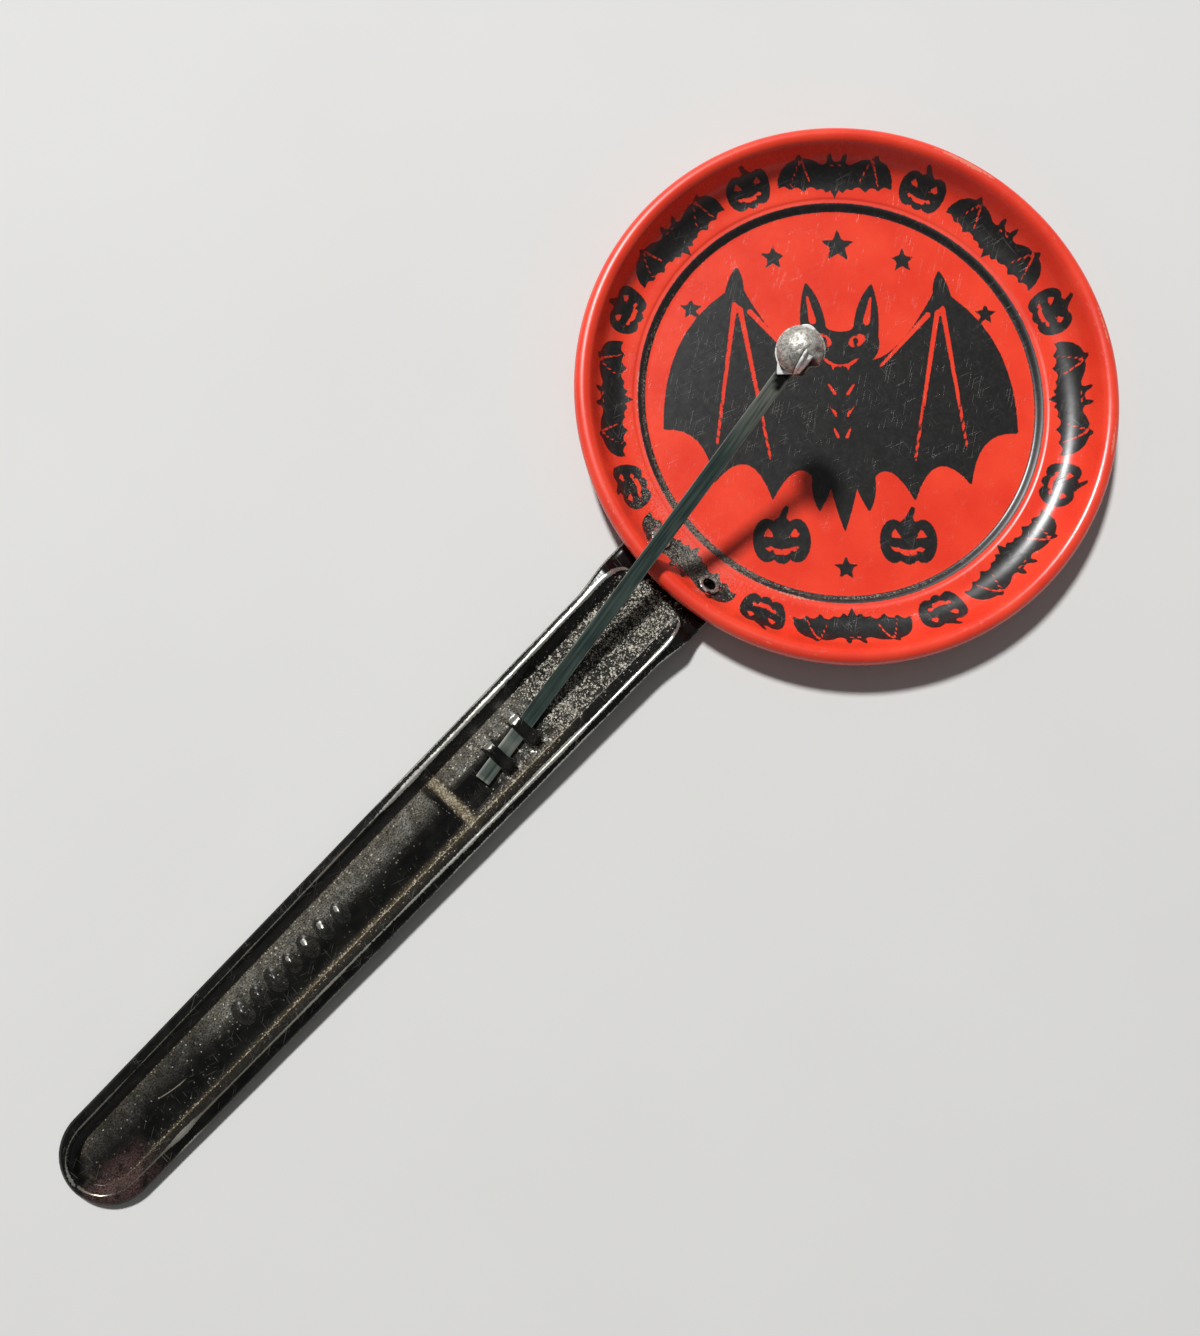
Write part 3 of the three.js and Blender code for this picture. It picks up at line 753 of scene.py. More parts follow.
def handle_rows():
    """Rows of points across the handle: round the tail, along the trough, and over the tongue."""
    rows = []
    floor_lines = across_lines()
    widest = max(abs(y) for y in floor_lines)

    def add_row(half, x, narrowed):
        inner = [(x, y * narrowed, floor_level(x)) for y in floor_lines]
        rows.append(half + inner + [(px, -py, pz) for px, py, pz in reversed(half)])

    for degrees in range(0, 88, 6):
        phi = math.radians(degrees)
        half, row = half_section(nose_x, tail["foot"], tail["crest"], tail["edge"], 1), []
        for y, z in half:
            t = np.interp(y, [tail["foot"] - 1, *tail.values()], [nose["foot"] - 1, *nose.values()])
            x = nose_x - t * math.cos(phi)
            row.append((x, y * math.sin(phi), z + floor_slope * (x - nose_x)))
        narrowed = math.sin(phi) * min(1.0, (half[-1][0] - 0.1) / widest)
        add_row(row, nose_x - (nose["foot"] - 0.9) * math.cos(phi), narrowed)
    for x in handle_stations():
        share = (x - nose_x) / (head_x - nose_x)
        u = max(0.0, 1 - (head_x - x) / turn_in_run)
        inward = turn_in * (1 - math.sqrt(1 - u * u))
        foot, crest, edge = (tail[k] + (head[k] - tail[k]) * share for k in ("foot", "crest", "edge"))
        edge += (tongue_half_width - edge) * ramp(1 - (head_x - x) / flare_run)
        half = half_section(x, foot - inward * 0.8, crest - inward, edge, 1 - 0.92 * ramp((u - 0.4) / 0.6))
        add_row([(x, y, z) for y, z in half], x, min(1.0, (half[-1][0] - 0.1) / widest))
    shares = [p[1] / tongue_half_width for p in rows[-1]]
    corner_x = tongue_end - tongue_corner
    ends = [(head_x + (corner_x - head_x) * t, tongue_half_width) for t in np.linspace(0, 1, 11)[1:]]
    for a in map(math.radians, (20, 40, 55, 70, 80, 90)):
        half = tongue_half_width - tongue_corner * (1 - math.cos(a))
        ends.append((corner_x + tongue_corner * math.sin(a), half))
    for x, half in ends:
        rows.append([(x, s * half, float(tongue_level(x, s * half))) for s in shares])
    return rows


def in_strap(x, y):
    """0 on the floor and 1 on top of a strap."""
    for middle in strap_places:
        if abs(x - middle) <= strap_width / 2 + 1e-6:
            return float(ramp((strap_half_span - abs(y - strap_shift)) / strap_leg))
    return 0.0


def in_slit(x, y):
    off = min(abs(x - middle) for middle in strap_places) - strap_width / 2
    return 0 < off < slit and abs(y - strap_shift) < strap_half_span


def japan_finish():
    """Black japan: rubbed bright along the crests and edges, dust on the floor with a grey painted sheen over
    parts of it, rust at the tail.
    """
    material, shader, place, read = new_finish("black japan", IOR=1.33)
    parts = add(place.tree, "ShaderNodeSeparateXYZ", {0: place}).outputs
    along, across = Amount(parts["X"]), Amount(parts["Y"])
    wear, tan_cover = read("wear"), read("tan_dust")
    black = mixed(patches(place, 2.5, 4, 0.35, 0.7), (0.0025, 0.0025, 0.0024), (0.007, 0.0067, 0.006))
    powdery = patches(place, 0.2, 5, 0.34, 0.66)
    # The film layer paints a grey sheen on the floor as well as a dust film.
    dust_film_and_sheen = read("dust_film_and_sheen") * (powdery * 0.85 + 0.15) * (patches(place, 1.3, 4, 0.3, 0.6) * 0.5 + 0.5)
    dust_film_and_sheen_tone = mixed(patches(place, 2.2, 3, 0.4, 0.6), (0.245, 0.235, 0.205), (0.19, 0.175, 0.142))
    dust = effect(GRAINS, Place=place, Grain=0.19, Cover=read("dust"))
    powder = mixed(dust["Tone"], (0.012, 0.011, 0.008), (0.88, 0.82, 0.68))
    elsewhere = with_place("ADD", place, (31.0, 17.0, 5.0))  # so that these grains don't repeat the dust's
    tan = effect(GRAINS, Place=elsewhere, Grain=0.17, Cover=tan_cover)
    sand = mixed(tan["Tone"], (0.11, 0.085, 0.055), (0.58, 0.51, 0.39))
    rust = fade(along, -138, -143.5) * fade(across, 0.6, -2.4) * patches(place, 1.6, 5, 0.3, 0.58)
    rust_tone = mixed(powdery, (0.022, 0.010, 0.010), (0.10, 0.062, 0.055))
    lines = effect(SCRATCHES, Place=place, Length=3.0, Width=0.1, Cover=0.5)["Mask"]
    reach = wear * 0.24 + 0.01
    bright = most(*(
        effect(RUBBED, Place=place, Distance=read(line), Reach=far, Break=broken, Chip=0.3)["Mask"]
        for line, far, broken in (("crest_gap", reach, 0.6), ("edge_gap", reach * 0.7, 0.8))))
    bow_centre, bow_radius, bow_middle = (-129.4, 15.7, 0.3), 16.0, -132.3
    from_bow = abs(with_place("DISTANCE", place, bow_centre) - bow_radius)
    bowed_scratch = fade(from_bow, 0.09, 0.03) * fade(abs(along - bow_middle), 2.4, 1.4)
    steel_tone = mixed(wear, (0.20, 0.17, 0.12), (0.62, 0.61, 0.55))
    colour = layered(black, (dust_film_and_sheen, dust_film_and_sheen_tone), (dust["Mask"] * 0.85, powder),
                     (tan_cover * (powdery * 0.6 + 0.3), (0.23, 0.185, 0.11)), (tan["Mask"] * 0.85, sand),
                     (rust * 0.85, rust_tone), (lines * 0.35, (0.22, 0.21, 0.19)),
                     (bowed_scratch * 0.7, (0.30, 0.27, 0.21)), (bright * 0.85, steel_tone))
    gloss = 0.15 + cloud(place, 0.8, 4) * 0.16 + most(dust["Mask"], dust_film_and_sheen) * 0.4
    feed(shader.inputs, Base_Color=colour, Roughness=gloss, Metallic=bright * 0.8)
    bumped(shader, cloud(place, 1.5, 3) + dust["Mask"] * 1.2, 0.035)
    return material


def coated(piece, finish):
    """Gives a piece its finish and a smooth surface."""
    piece.data.materials.append(finish)
    piece.data.polygons.foreach_set("use_smooth", [True] * len(piece.data.polygons))


def thickened(piece, thickness, even):
    """Turns a sheet without thickness into one that has it, half to each side."""
    thick = piece.modifiers.new("thickness", "SOLIDIFY")
    thick.thickness = thickness * MM
    thick.offset = 0
    thick.use_even_offset = even
    settled(piece)


def handle_wear(x, y):
    """What the finish reads: distances to crests and cut edges, where wear and dust lie, and where a painted
    sheen lies.
    """
    share = np.clip((x - nose_x) / (head_x - nose_x), 0, 1)
    foot_at, crest_at, edge_at = (tail[k] + (head[k] - tail[k]) * share for k in ("foot", "crest", "edge"))
    past_nose = np.minimum(x - nose_x, 0)
    rounded, rounded_edge = (np.hypot(past_nose * tail[k] / nose[k], y) for k in ("crest", "edge"))
    u = np.clip(1 - (head_x - x) / turn_in_run, 0, 1)
    crest_at = crest_at - turn_in * (1 - np.sqrt(1 - u * u))
    edge_at += (tongue_half_width - edge_at) * ramp(1 - (head_x - x) / flare_run)
    tongue = ramp((x - head_x) / 0.8)
    near_side, by_strap = y > 0, y - strap_shift
    burrs = [np.hypot(x - strap_x + shift, by_strap + strap_half_span) * 0.6
             for shift in (-1.1, 1.1, strap_pitch - 1.1, strap_pitch + 1.1)]
    burrs += [np.maximum(0, np.hypot((x - middle) * 0.8, by_strap - strap_half_span + 0.45) - size)
              for middle, size in zip(strap_places, (0.3, 0.5))]
    grip_line_x, worn_x, near_tip_x, far_tip_x, sand_x = -81.4, -134.8, -147.2, -148.4, -79.9
    grip_line = np.abs(x - grip_line_x + 0.13 * y) + 0.08 + 3 * ramp((np.abs(y) - 3) / 0.5)
    near_wear = 0.25 + 0.65 * ramp((x + 94) / 12) + 0.5 * ramp((near_tip_x - x) / 1.2)
    far_wear = 0.2 + 0.3 * ramp((x + 128) / 22) + 0.42 * ramp((x + 96) / 10)
    far_wear += 0.55 * near(x, worn_x, 3.6) + 0.4 * ramp((far_tip_x - x) / 1.0)
    on_floor = ramp((foot_at + 0.3 - rounded) / 0.6) * (1 - 0.8 * tongue)
    to_head = ramp((x + 66) / 6)
    in_grip = ramp((-81.5 - x) / 0.8) * (1 - 0.75 * ramp((-119 - x) / 8))
    by_straps = ramp((x + 79.5) / 1.5) * ramp((-62.5 - x) / 1.5)
    wiped = by_straps * ramp((3.2 - np.abs(by_strap)) / 0.8) * np.where(y > -1.1, 1, ramp((-73 - x) / 1))
    wiped *= ramp((1.9 - y) / 0.9)
    wiped = np.maximum(wiped, [in_strap(a, b) > 0 for a, b in zip(x, y)])
    # The film mark is part dust film and part painted sheen: a grey band over the near half of the grip
    # floor, grey patches beside the straps, a faint band on the far wall, and dust film towards the head.
    dust_film_and_sheen = 0.2 * to_head + 1.35 * by_straps * ramp((y - 0.8) / 1.4) + 0.95 * in_grip * ramp((y + 0.4) / 2.8)
    dust_film_and_sheen += 0.06 * near(foot_at - rounded, 0.5, 1.1) + 0.35 * by_straps * (y < -1.1)
    wall = 0.12 * (y < 0) * near(rounded - foot_at, 0.7, 0.8) * ramp((-50 - x) / 10)
    grit = 0.035 + 0.75 * to_head + 0.06 * in_grip * ramp((y + 1.5) / 4)
    grit += 0.22 * by_straps * (np.abs(y) > 1.5)
    band = ramp(1.15 - np.abs(x - sand_x) / 0.95) * on_floor
    corner = near(rounded - foot_at, -0.05, 0.26) * ramp((-58 - x) / 10)
    corner = corner * np.where(y < 0, 0.95 - 0.4 * ramp((-110 - x) / 12), 0.25)
    return {"crest_gap": np.abs(rounded - crest_at - 0.22 * near_side) + 3 * tongue,
            "edge_gap": np.minimum.reduce([np.abs(edge_at - rounded_edge), grip_line] + burrs),
            "wear": np.where(near_side, near_wear, far_wear),
            "dust_film_and_sheen": np.clip(on_floor * dust_film_and_sheen * (1 - 0.85 * wiped) + wall, 0, 1),
            "dust": np.clip(on_floor * grit * (1 - 0.8 * wiped), 0, 1),
            "tan_dust": np.clip(band + corner, 0, 1)}


def make_handle(finish):
    rows = handle_rows()
    points = []
    for x, y, z in (point for row in rows for point in row):
        lift = strap_lift * in_strap(x, y) if abs(y - strap_shift) < 3 else 0
        points.append((x, y, z + lift))
    faces = []
    for quad in skin(len(rows), len(rows[0]), closed=False):
        middle = np.mean([points[k] for k in quad], axis=0)
        if not in_slit(middle[0], middle[1]):
            faces.append(quad)
    uneven = []
    for x, y, z in points:
        strength = 0.06 * ramp((-x - 40) / 6)
        push = noise.noise(Vector((x * 0.11, y * 0.2, 3.1)))
        push += 0.4 * noise.noise(Vector((x * 0.4, y * 0.5, 8.2)))
        uneven.append((x, y, z + strength * push))
    handle = mesh_object("handle_trough", [Vector(p) * MM for p in uneven], [], faces)
    x, y, z = np.array(points).T
    mark(handle, **handle_wear(x, y))
    coated(handle, finish)
    facing_out(handle)
    thickened(handle, TIN, True)
    facing_out(handle)
    cut_with(handle, rivet_drills())
    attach(handle, "toy")
    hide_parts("handle")


japan = japan_finish()
make_handle(japan)


# Grip ribs. A row of plain raised ribs, pressed up in the floor of the grip to stop the thumb
# slipping. They are part of the same tin and carry the same japan.
def ribs_tree():
    """Geometry nodes that set ribs along a line, each one scaled a little differently."""
    tree, given, result = new_tree(
        "grip ribs", "GeometryNodeTree",
        [("Rib", "Geometry", None), ("Start", "Vector", None),
         ("End", "Vector", None), ("Count", "Int", 8), ("Seed", "Int", 4),
         ("Finish", "Material", None)],
        [("Geometry", "Geometry")])
    line = add(tree, "GeometryNodeMeshLine", {"Count": given["Count"], "Start Location": given["Start"],
                                              "Offset": given["End"]}, mode="END_POINTS")
    size = add(tree, "FunctionNodeRandomValue", {2: 0.85, 3: 1.1, "Seed": given["Seed"]}, data_type="FLOAT")
    ribs = add(tree, "GeometryNodeInstanceOnPoints", {
        "Points": line.outputs["Mesh"], "Instance": given["Rib"], "Scale": size.outputs[1]})
    finish_off(tree, ribs.outputs["Instances"], given["Finish"], result)
    return tree


def make_ribs(finish):
    half_length, half_width, rise, rim, foot = 1.42, 2.1, 0.8, 0.012, -0.12
    rings, around = 7, 20
    start, end, side, count = -119.0, -100.9, 0.3, 7
    points = [(0, 0, rise)]
    for j in range(1, rings + 1):
        t = j / rings
        level = rise * (1 - ramp(t)) + rim if j < rings else foot
        for turn in (math.tau * i / around for i in range(around)):
            points.append((half_length * t * math.cos(turn), half_width * t * math.sin(turn), level))
    faces = [(0, 1 + i, 1 + (i + 1) % around) for i in range(around)]
    faces += [(a, d, c, b) for a, b, c, d in skin(rings, around, first=1)]
    faces.append(tuple(1 + (rings - 1) * around + i for i in reversed(range(around))))
    ribs = mesh_object("grip_ribs", [Vector(p) * MM for p in points], [], faces)
    first, last = (Vector((x, side, floor_level(x) + TIN / 2)) * MM for x in (start, end))
    worked(ribs, ribs_tree(), {"Start": first, "End": last, "Count": count, "Finish": finish})
    x, y, z = points_of(ribs)
    pitch = (end - start) / (count - 1)
    off = x - start - pitch * np.round((x - start) / pitch)
    rubbed = np.maximum(0, np.hypot(off, 0.7 * (y - side - 0.85)) - 0.19 * ramp((x - start) / 12))
    plain = {"crest_gap": 3, "dust": 0.04, "dust_film_and_sheen": 0.16, "tan_dust": 0, "wear": 0.7}
    mark(ribs, edge_gap=rubbed, **{name: np.full(len(x), value) for name, value in plain.items()})
    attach(ribs, "toy")


make_ribs(japan)


# Eyelets. Two hollow rivets of bare tin join the pan's cove to the handle's tongue: a barrel with
# a rounded flange above and an edge rolled over below.
def eyelet_finish():
    material, shader, place, read = new_finish("bare tin", Metallic=0.9)
    dirt = effect(GRAINS, Place=place, Grain=0.3, Cover=0.55)["Mask"]
    tone = mixed(patches(place, 0.5, 3, 0.35, 0.65), (0.52, 0.50, 0.46), (0.74, 0.72, 0.68))
    # The bore is painted near black, as painted shade inside the hole.
    colour = layered(tone, (dirt, (0.10, 0.09, 0.075)), (read("bore"), (0.02, 0.018, 0.015)))
    feed(shader.inputs, Base_Color=colour, Roughness=0.3 + dirt * 0.4)
    bumped(shader, cloud(place, 0.4, 3), 0.03)
    return material


def half_round(radius, level, bend):
    """Half a circle from below, round its outer side, to above."""
    turns = [math.radians(-90 + 180 * i / 8) for i in range(9)]
    return [(radius + bend * math.cos(a), level + bend * math.sin(a)) for a in turns]


def make_eyelets(finish):
    bore, barrel, flange, roll, wall = 0.9, 1.1, 1.55, 1.45, 0.2
    top, foot = 0.3, -0.98
    for side, name in ((1, "left"), (-1, "right")):
        profile = half_round(flange - wall, top - 0.12 + wall, wall)
        mouth = ((0.28, 0.28), (0.1, 0.22), (0.02, 0.08), (0, -0.1))
        profile += [(bore + out, top + up) for out, up in mouth]
        profile += [(bore, foot - wall * 0.4), (bore + 0.08, foot - wall * 0.85)]
        profile += half_round(roll - wall / 2, foot - wall / 2, wall / 2) + [(barrel, foot), (barrel, top)]
        piece = turned_piece("eyelet_rivet_" + name, profile, 48, finish)
        x, y, level = points_of(piece)
        out = np.hypot(x, y)
        # Points inside the bore are marked for its painted shade.
        mark(piece, bore=(out < bore + 0.09) & (level < top + 0.1))
        for vertex, reach in zip(piece.data.vertices, out):
            if vertex.co.z / MM > top - 0.15 and reach > barrel:
                turn = math.atan2(vertex.co.y, vertex.co.x)
                ragged = 0.09 * noise.noise(Vector((2 * math.cos(turn), 2 * math.sin(turn), 3.0 * side)))
                ragged += 0.03 * math.sin(9 * turn)
                vertex.co *= 1 + ragged * (reach - barrel) / (flange - barrel)
        piece.data.transform(in_cove(side))
        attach(piece, "toy")
        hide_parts("eyelet_" + name)


make_eyelets(eyelet_finish())


# Spring strip. One length of thin blued steel, pushed askew under both straps. It turns up at the
# first strap and curves up evenly to the hammer. It is made as two pieces, which meet flush.
strip_width = 2.2
strip_thickness = 0.35
strip_skew = math.radians(7.2)
strip_shift = 0.15
root_slope, end_slope = math.radians(9.5), math.radians(21.5)
bend_run, root_flex, knee_flex, hammer_reach = 1.4, 3.4, 30.5, 59.8
root_bend, knee_bend = 1.4, 12
strip_start = -strap_pitch - 4
strip_end = hammer_reach + 1.6 * math.cos(end_slope)
strip_split = 17.0


def strip_place(distance):
    x = strap_x + distance * math.cos(strip_skew)
    y = strip_shift + distance * math.sin(strip_skew)
    flat_x = strap_x + min(distance, bend_run) * math.cos(strip_skew)
    run = distance - bend_run
    soft = 0.8
    run = 0 if run < -soft else (run + soft) ** 2 / (4 * soft) if run < soft else run
    curve = (math.tan(end_slope) - math.tan(root_slope)) / (2 * (hammer_reach - bend_run))
    seat = floor_level(flat_x) + clearance + (TIN + strip_thickness) / 2
    return Vector((x, y, seat + run * math.tan(root_slope) + run ** 2 * curve))


def steel_finish():
    """Blued steel: brushed lengthwise, greener and paler in streaks, bright along its edges, with a painted
    shadow of the hammer's ear by its end.
    """
    material, shader, place, read = new_finish("blued spring steel")
    brushed = moved(moved(place, Rotation=(0, 0, -strip_skew)), Scale=(0.06, 3.2, 0.5))
    streak = cloud(brushed, 1, 4)
    blue = mixed(fade(streak, 0.3, 0.72), (0.016, 0.028, 0.025), (0.046, 0.078, 0.068))
    bare = read("bare") * fade(streak, 0.15, 0.6)
    edge = effect(RUBBED, Place=place, Distance=read("edge_gap"), Reach=0.09, Break=0.5, Chip=0.8)["Mask"]
    # Near the hammer a black wedge is painted on: a painted shadow of the upper cup's ear.
    colour = layered(blue, (patches(place, 6, 3, 0.5, 0.75) * 0.4, (0.065, 0.085, 0.072)),
                     (bare, (0.23, 0.235, 0.20)), (edge * 0.6, (0.28, 0.28, 0.25)),
                     (read("soot"), (0.004, 0.004, 0.004)))
    feed(shader.inputs, Base_Color=colour, Roughness=0.36 + streak * 0.2, Metallic=0.55 + bare * 0.3)
    bumped(shader, streak, 0.02)
    return material


def make_strip(name, start, end, finish):
    """A stretch of the strip: a rounded flat bar along its line."""
    steps = max(2, round((end - start) / 0.6))
    sideways = Vector((-math.sin(strip_skew), math.cos(strip_skew), 0))
    half_w, half_t, round_off = strip_width / 2, strip_thickness / 2, 0.09
    section = []
    for cy, cz, first in ((1, 1, 0), (-1, 1, 90), (-1, -1, 180), (1, -1, 270)):
        for a in (math.radians(first + turn) for turn in (0, 30, 60, 90)):
            section.append((cy * (half_w - round_off) + round_off * math.cos(a),
                            cz * (half_t - round_off) + round_off * math.sin(a)))
    section[4:4] = [(w, half_t) for w in (0.7, 0.35, 0, -0.35, -0.7)]
    points = []
    for i in range(steps + 1):
        s = start + (end - start) * i / steps
        ahead = (strip_place(s + 0.05) - strip_place(s - 0.05)).normalized()
        up = ahead.cross(sideways)
        points += [(strip_place(s) + sideways * y + up * z) * MM for y, z in section]
    wide = len(section)
    ends = [tuple(range(wide)), tuple(range(steps * wide, (steps + 1) * wide))]
    piece = facing_out(mesh_object(name, points, [], skin(steps + 1, wide) + ends))
    x, y, z = points_of(piece)
    s = (x - strap_x) * math.cos(strip_skew) + (y - strip_shift) * math.sin(strip_skew)
    offset = (y - strip_shift) * math.cos(strip_skew) - (x - strap_x) * math.sin(strip_skew)
    bare = ramp((0.9 - s) / 0.8) * (0.16 + 0.4 * ramp((np.abs(offset) - 0.5) / 0.5))
    bare += 0.35 * near(s, -2.9, 1.3) + 0.8 * ramp((strip_start + 0.3 - s) / 0.25)
    # Close to the hammer a black wedge is a painted shadow of the upper cup's ear.
    rubbed_from, soot_from = 42, 53.9
    soot = ramp((s - soot_from - np.abs(offset + 0.4) * 1.4) / 0.3) * ramp((offset + 1.0) / 0.3)
    mark(piece, edge_gap=half_w - np.abs(offset), soot=soot,
         bare=np.maximum(np.clip(bare, 0, 1), 0.8 * ramp((s - rubbed_from) / 14)))
    coated(piece, finish)
    piece.data.set_sharp_from_angle(angle=math.radians(50))
    return piece


steel = steel_finish()
lower_strip = make_strip("spring_strip_lower", strip_start, strip_split, steel)
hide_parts("strip_root", "strip_lower")
strip_place(root_flex - root_bend) * MM
strip_place(root_flex + root_bend) * MM
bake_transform(lower_strip)
upper_strip = make_strip("spring_strip_upper", strip_split, strip_end, steel)
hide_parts("strip_upper")
strip_place(knee_flex - knee_bend) * MM
strip_place(knee_flex + knee_bend) * MM
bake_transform(upper_strip)


# Hammer. Two small cups of dull thin metal, nipped together over the strip's end. Their flanges are
# drawn out to ears at both ends, and the upper cup is crumpled where the pliers closed it.
hammer_radius, hammer_flange, hammer_wall = 3.05, 3.22, 0.3
entry_turn, far_turn, plier_turn, plier_cut = math.pi - 0.12, 0.3, 3.82, 2.8


def hammer_place():
    turn = Euler((0, -end_slope, strip_skew), "XYZ").to_matrix().to_4x4()
    return Matrix.Translation(strip_place(hammer_reach) * MM) @ turn


def hammer_finish():
    """Dull beaten metal: mottled grey with fine bright specks and rubbed bright ear edges, a painted
    highlight on the pinched fold and the flat beside it, and near-black painted shade in the crease, the
    hollow, the dent and on one side of the lower cup's flange.
    """
    material, shader, place, read = new_finish("dull hammer metal")
    grey = mixed(patches(place, 0.45, 5, 0.34, 0.66), (0.24, 0.228, 0.205), (0.56, 0.54, 0.49))
    bright = fade(read("bright") + cloud(place, 0.4, 3) * 0.5, 0.6, 0.95)
    colour = layered(grey, (patches(place, 0.2, 3, 0.56, 0.68) * 0.8, (0.74, 0.73, 0.69)),
                     (bright, (0.92, 0.92, 0.90)), (read("grime") * 0.9, (0.02, 0.018, 0.016)))
    feed(shader.inputs, Base_Color=colour, Roughness=0.52 - bright * 0.1, Metallic=0.5 - bright * 0.4)
    bumped(shader, cloud(place, 0.35, 5), 0.09)
    return material


def bump(value, middle, width):
    return math.exp(-(((value - middle) / width) ** 2))


def apart(turn, place):
    """How far round a cup one place is from another."""
    return abs(math.remainder(turn - place, math.tau))


def from_fold(x, y):
    return y + 0.72 - 0.12 * (x - 0.4)


def past_flat(x, off):
    """0 on the fold and the flat beside it, and 1 where the cup drops away."""
    return float(ramp((-0.86 - 0.2 * (x + 0.4) - off) / 0.12))


def pinched(x, y, dome):
    """Height of the upper cup where pliers nipped it: a groove, a standing fold, a flat and a drop."""
    behind = float(ramp((0.55 - x) / 0.35))
    if behind <= 0 or y > -0.2:
        return dome
    off = from_fold(x, y)
    flat = 2.45 + 0.1 * (off + 0.2) + 0.22 * x
    low = min(dome - 0.45 * bump(off, 0.3, 0.15) + 0.18 * bump(off, 0, 0.1),
              flat + 1.5 * float(ramp((off + 0.14) / 0.13)))
    drop = past_flat(x, off) * float(ramp((0.25 - x) / 0.3))
    lobe = float(ramp((x + 0.55 - 0.5 * (y + 2.4)) / 0.35))
    hollow = min(dome, 0.35) * (1 - lobe) + (dome - 0.2) * lobe
    low = low * (1 - drop) + hollow * drop
    return dome * (1 - behind) + low * behind


def make_cup(name, node, side, finish):
    rings, lip, around = 46, 6, 168
    level = 0.15 + hammer_wall / 2
    radius = hammer_radius - hammer_wall / 2
    upper = side > 0
    points, bright, grime = [], [], []
    for j in range(rings + lip + 1):
        slope = min(1.0, j / rings) * math.pi / 2
        lip_share = max(0.0, (j - rings) / lip)
        cap = math.cos(slope) ** 0.5 if j < rings else 0.0
        dome = level + (radius - level) * math.cos(slope)
        for turn in (math.tau * i / around for i in range(around)):
            from_entry, from_far = apart(turn, entry_turn), apart(turn, far_turn)
            ears = max(0.0, 1 - from_entry / 0.36) ** 1.15 + 0.22 * near(from_far, 0, 0.4)
            notch = 0.75 * bump(apart(turn, -2.0), 0, 0.3)
            clip = plier_cut / max(0.3, math.cos(turn - plier_turn)) if upper else 9.0
            widest = min(radius - notch, clip - 0.08)
            edge = min(hammer_flange - notch + ears, clip)
            flat = widest * math.sin(slope) + (edge - widest) * lip_share
            x, y = flat * math.cos(turn), flat * math.sin(turn)
            rough = noise.noise(Vector((x * 0.75, y * 0.75, dome + 5 * side))) * 0.13 * cap
            rough += noise.noise(Vector((x * 2.1, y * 2.1, dome * 2 + 9 * side))) * 0.035 * cap
            if upper:
                dent = bump(x, 1.2, 0.4) * bump(y, -1.95, 0.5)
                z = pinched(x, y, dome) - 0.55 * dent * cap
            else:
                z = dome - 0.4 * bump(y, -1.25, 0.5) * ramp((1.2 - x) / 1.5) * cap
            wave = 0.07 * math.sin(3 * turn + 0.8) * lip_share
            points.append((x, y, side * (max(z + rough, level) + wave)))
            picked = max(ramp(1.5 - from_entry / 0.5), ramp(1.2 - from_far / 0.4),
                         0.7 * ramp(1.2 - apart(turn, 2.4) / 0.6)) * ramp(lip_share * 1.6)
            if not upper:
                bright.append(picked)
                # Painted shade, near black, on one side of the lower cup's flange.
                grime.append(float(ramp(1.5 - apart(turn, -2.1) / 0.45) * ramp((flat - 2.1) / 0.3)))
                continue
            # The fold line and the flat beside it carry a painted highlight; the crease, the hollow past the
            # flat and the dent carry painted shade.
            nipped = ramp((0.45 - x) / 0.3) * (cap > 0.15)
            off = from_fold(x, y)
            beyond = past_flat(x, off)
            face = 0.75 * ramp((-0.15 - off) / 0.1) * (1 - beyond)
            bright.append(max(picked, bump(off, 0, 0.11) * nipped, face * nipped))
            hollow = beyond * ramp((0.45 - x + 0.5 * (y + 2.4)) / 0.5)
            grime.append(min(1.0, (0.8 * bump(off, 0.22, 0.1) + hollow) * nipped + 0.45 * dent))
    cup = mesh_object(name, [Vector(p) * MM for p in points], [], skin(rings + lip + 1, around))
    mark(cup, bright=bright, grime=grime)
    coated(cup, finish)
    facing_out(cup)
    thickened(cup, hammer_wall, False)
    cup.data.transform(hammer_place())
    facing_out(cup)
    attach(cup, "hammer")
    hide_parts(node)


dull_metal = hammer_finish()
make_cup("hammer_cup_upper", "hammer_upper", 1, dull_metal)
make_cup("hammer_cup_lower", "hammer_lower", -1, dull_metal)


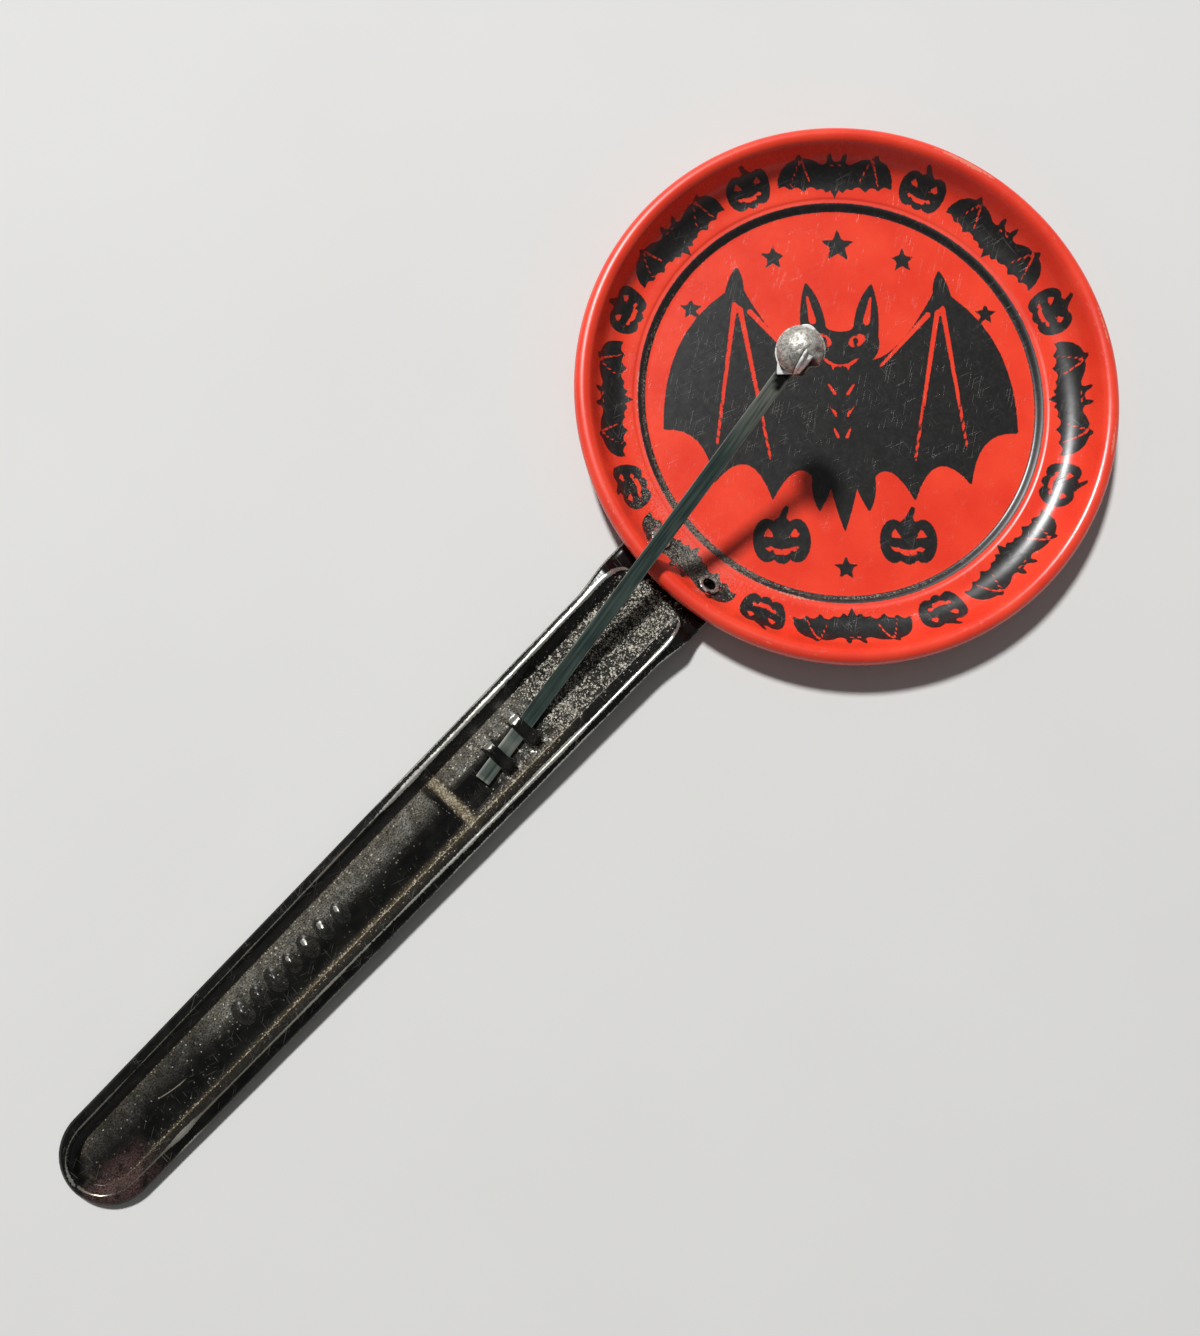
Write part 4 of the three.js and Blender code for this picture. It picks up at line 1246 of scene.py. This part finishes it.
# Setting: a plain pale floor, one soft lamp from over the pan's far side, and a dim room whose
# walls are pale low down, where a camera or a glossy surface sees them.
def make_floor():
    half = 6
    corners = [(-half, -half, 0), (half, -half, 0), (half, half, 0), (-half, half, 0)]
    floor = mesh_object("floor", corners, [], [(0, 1, 2, 3)])
    material, shader, place, read = new_finish("pale floor", Roughness=0.85)
    feed(shader.inputs, Base_Color=mixed(cloud(place, 40, 3), (0.66, 0.655, 0.64), (0.70, 0.695, 0.68)))
    floor.data.materials.append(material)


def placed(name, thing):
    """Puts a lamp or a camera into the scene."""
    holder = bpy.data.objects.new(name, thing)
    bpy.context.scene.collection.objects.link(holder)
    return holder


def make_lamp():
    toward, distance, aim = Vector((0.20, 0.59, 0.78)).normalized(), 2.4, Vector((-0.02, 0, 0))
    lamp = bpy.data.lights.new("lamp", "AREA")
    lamp.shape, lamp.size, lamp.energy = "DISK", 0.29, 68
    holder = placed("lamp", lamp)
    holder.location = aim + toward * distance
    holder.rotation_euler = (-toward).to_track_quat("-Z", "Y").to_euler()


def make_room():
    dim, pale = 0.13, 0.55
    world = bpy.data.worlds.new("dim room")
    bpy.context.scene.world = world
    world.use_nodes = True
    tree = world.node_tree
    background = tree.nodes["Background"].inputs
    way = add(tree, "ShaderNodeTexCoord").outputs["Generated"]
    height = Amount(add(tree, "ShaderNodeSeparateXYZ", {0: way}).outputs["Z"])
    rays = add(tree, "ShaderNodeLightPath").outputs
    seen = most(Amount(rays["Is Camera Ray"]), Amount(rays["Is Glossy Ray"]) * 0.4)
    feed(background, Strength=dim + fade(height, 0.4, 0.15) * seen * pale)
    background["Color"].default_value = (1, 1, 1, 1)


def make_camera():
    """The photo's own viewpoint: nearly straight down, with the handle's tail to the lower left."""
    lens = bpy.data.cameras.new("camera")
    lens.sensor_fit, lens.sensor_width, lens.lens, lens.clip_start = "HORIZONTAL", 36, 36, 0.01
    camera = placed("camera", lens)
    right, back = Vector((0.6914, -0.7200, 0.0592)), Vector((-0.1143, -0.0281, 0.9931))
    up = back.cross(right).normalized()
    turned = Matrix((up.cross(back).normalized(), up, back)).transposed().to_4x4()
    camera.matrix_world = Matrix.Translation(Vector((-71.7, -6.5, 167.0)) * MM) @ turned
    bpy.context.scene.camera = camera


make_floor()
make_lamp()
make_room()
make_camera()
bpy.context.scene.view_settings.view_transform = "Standard"
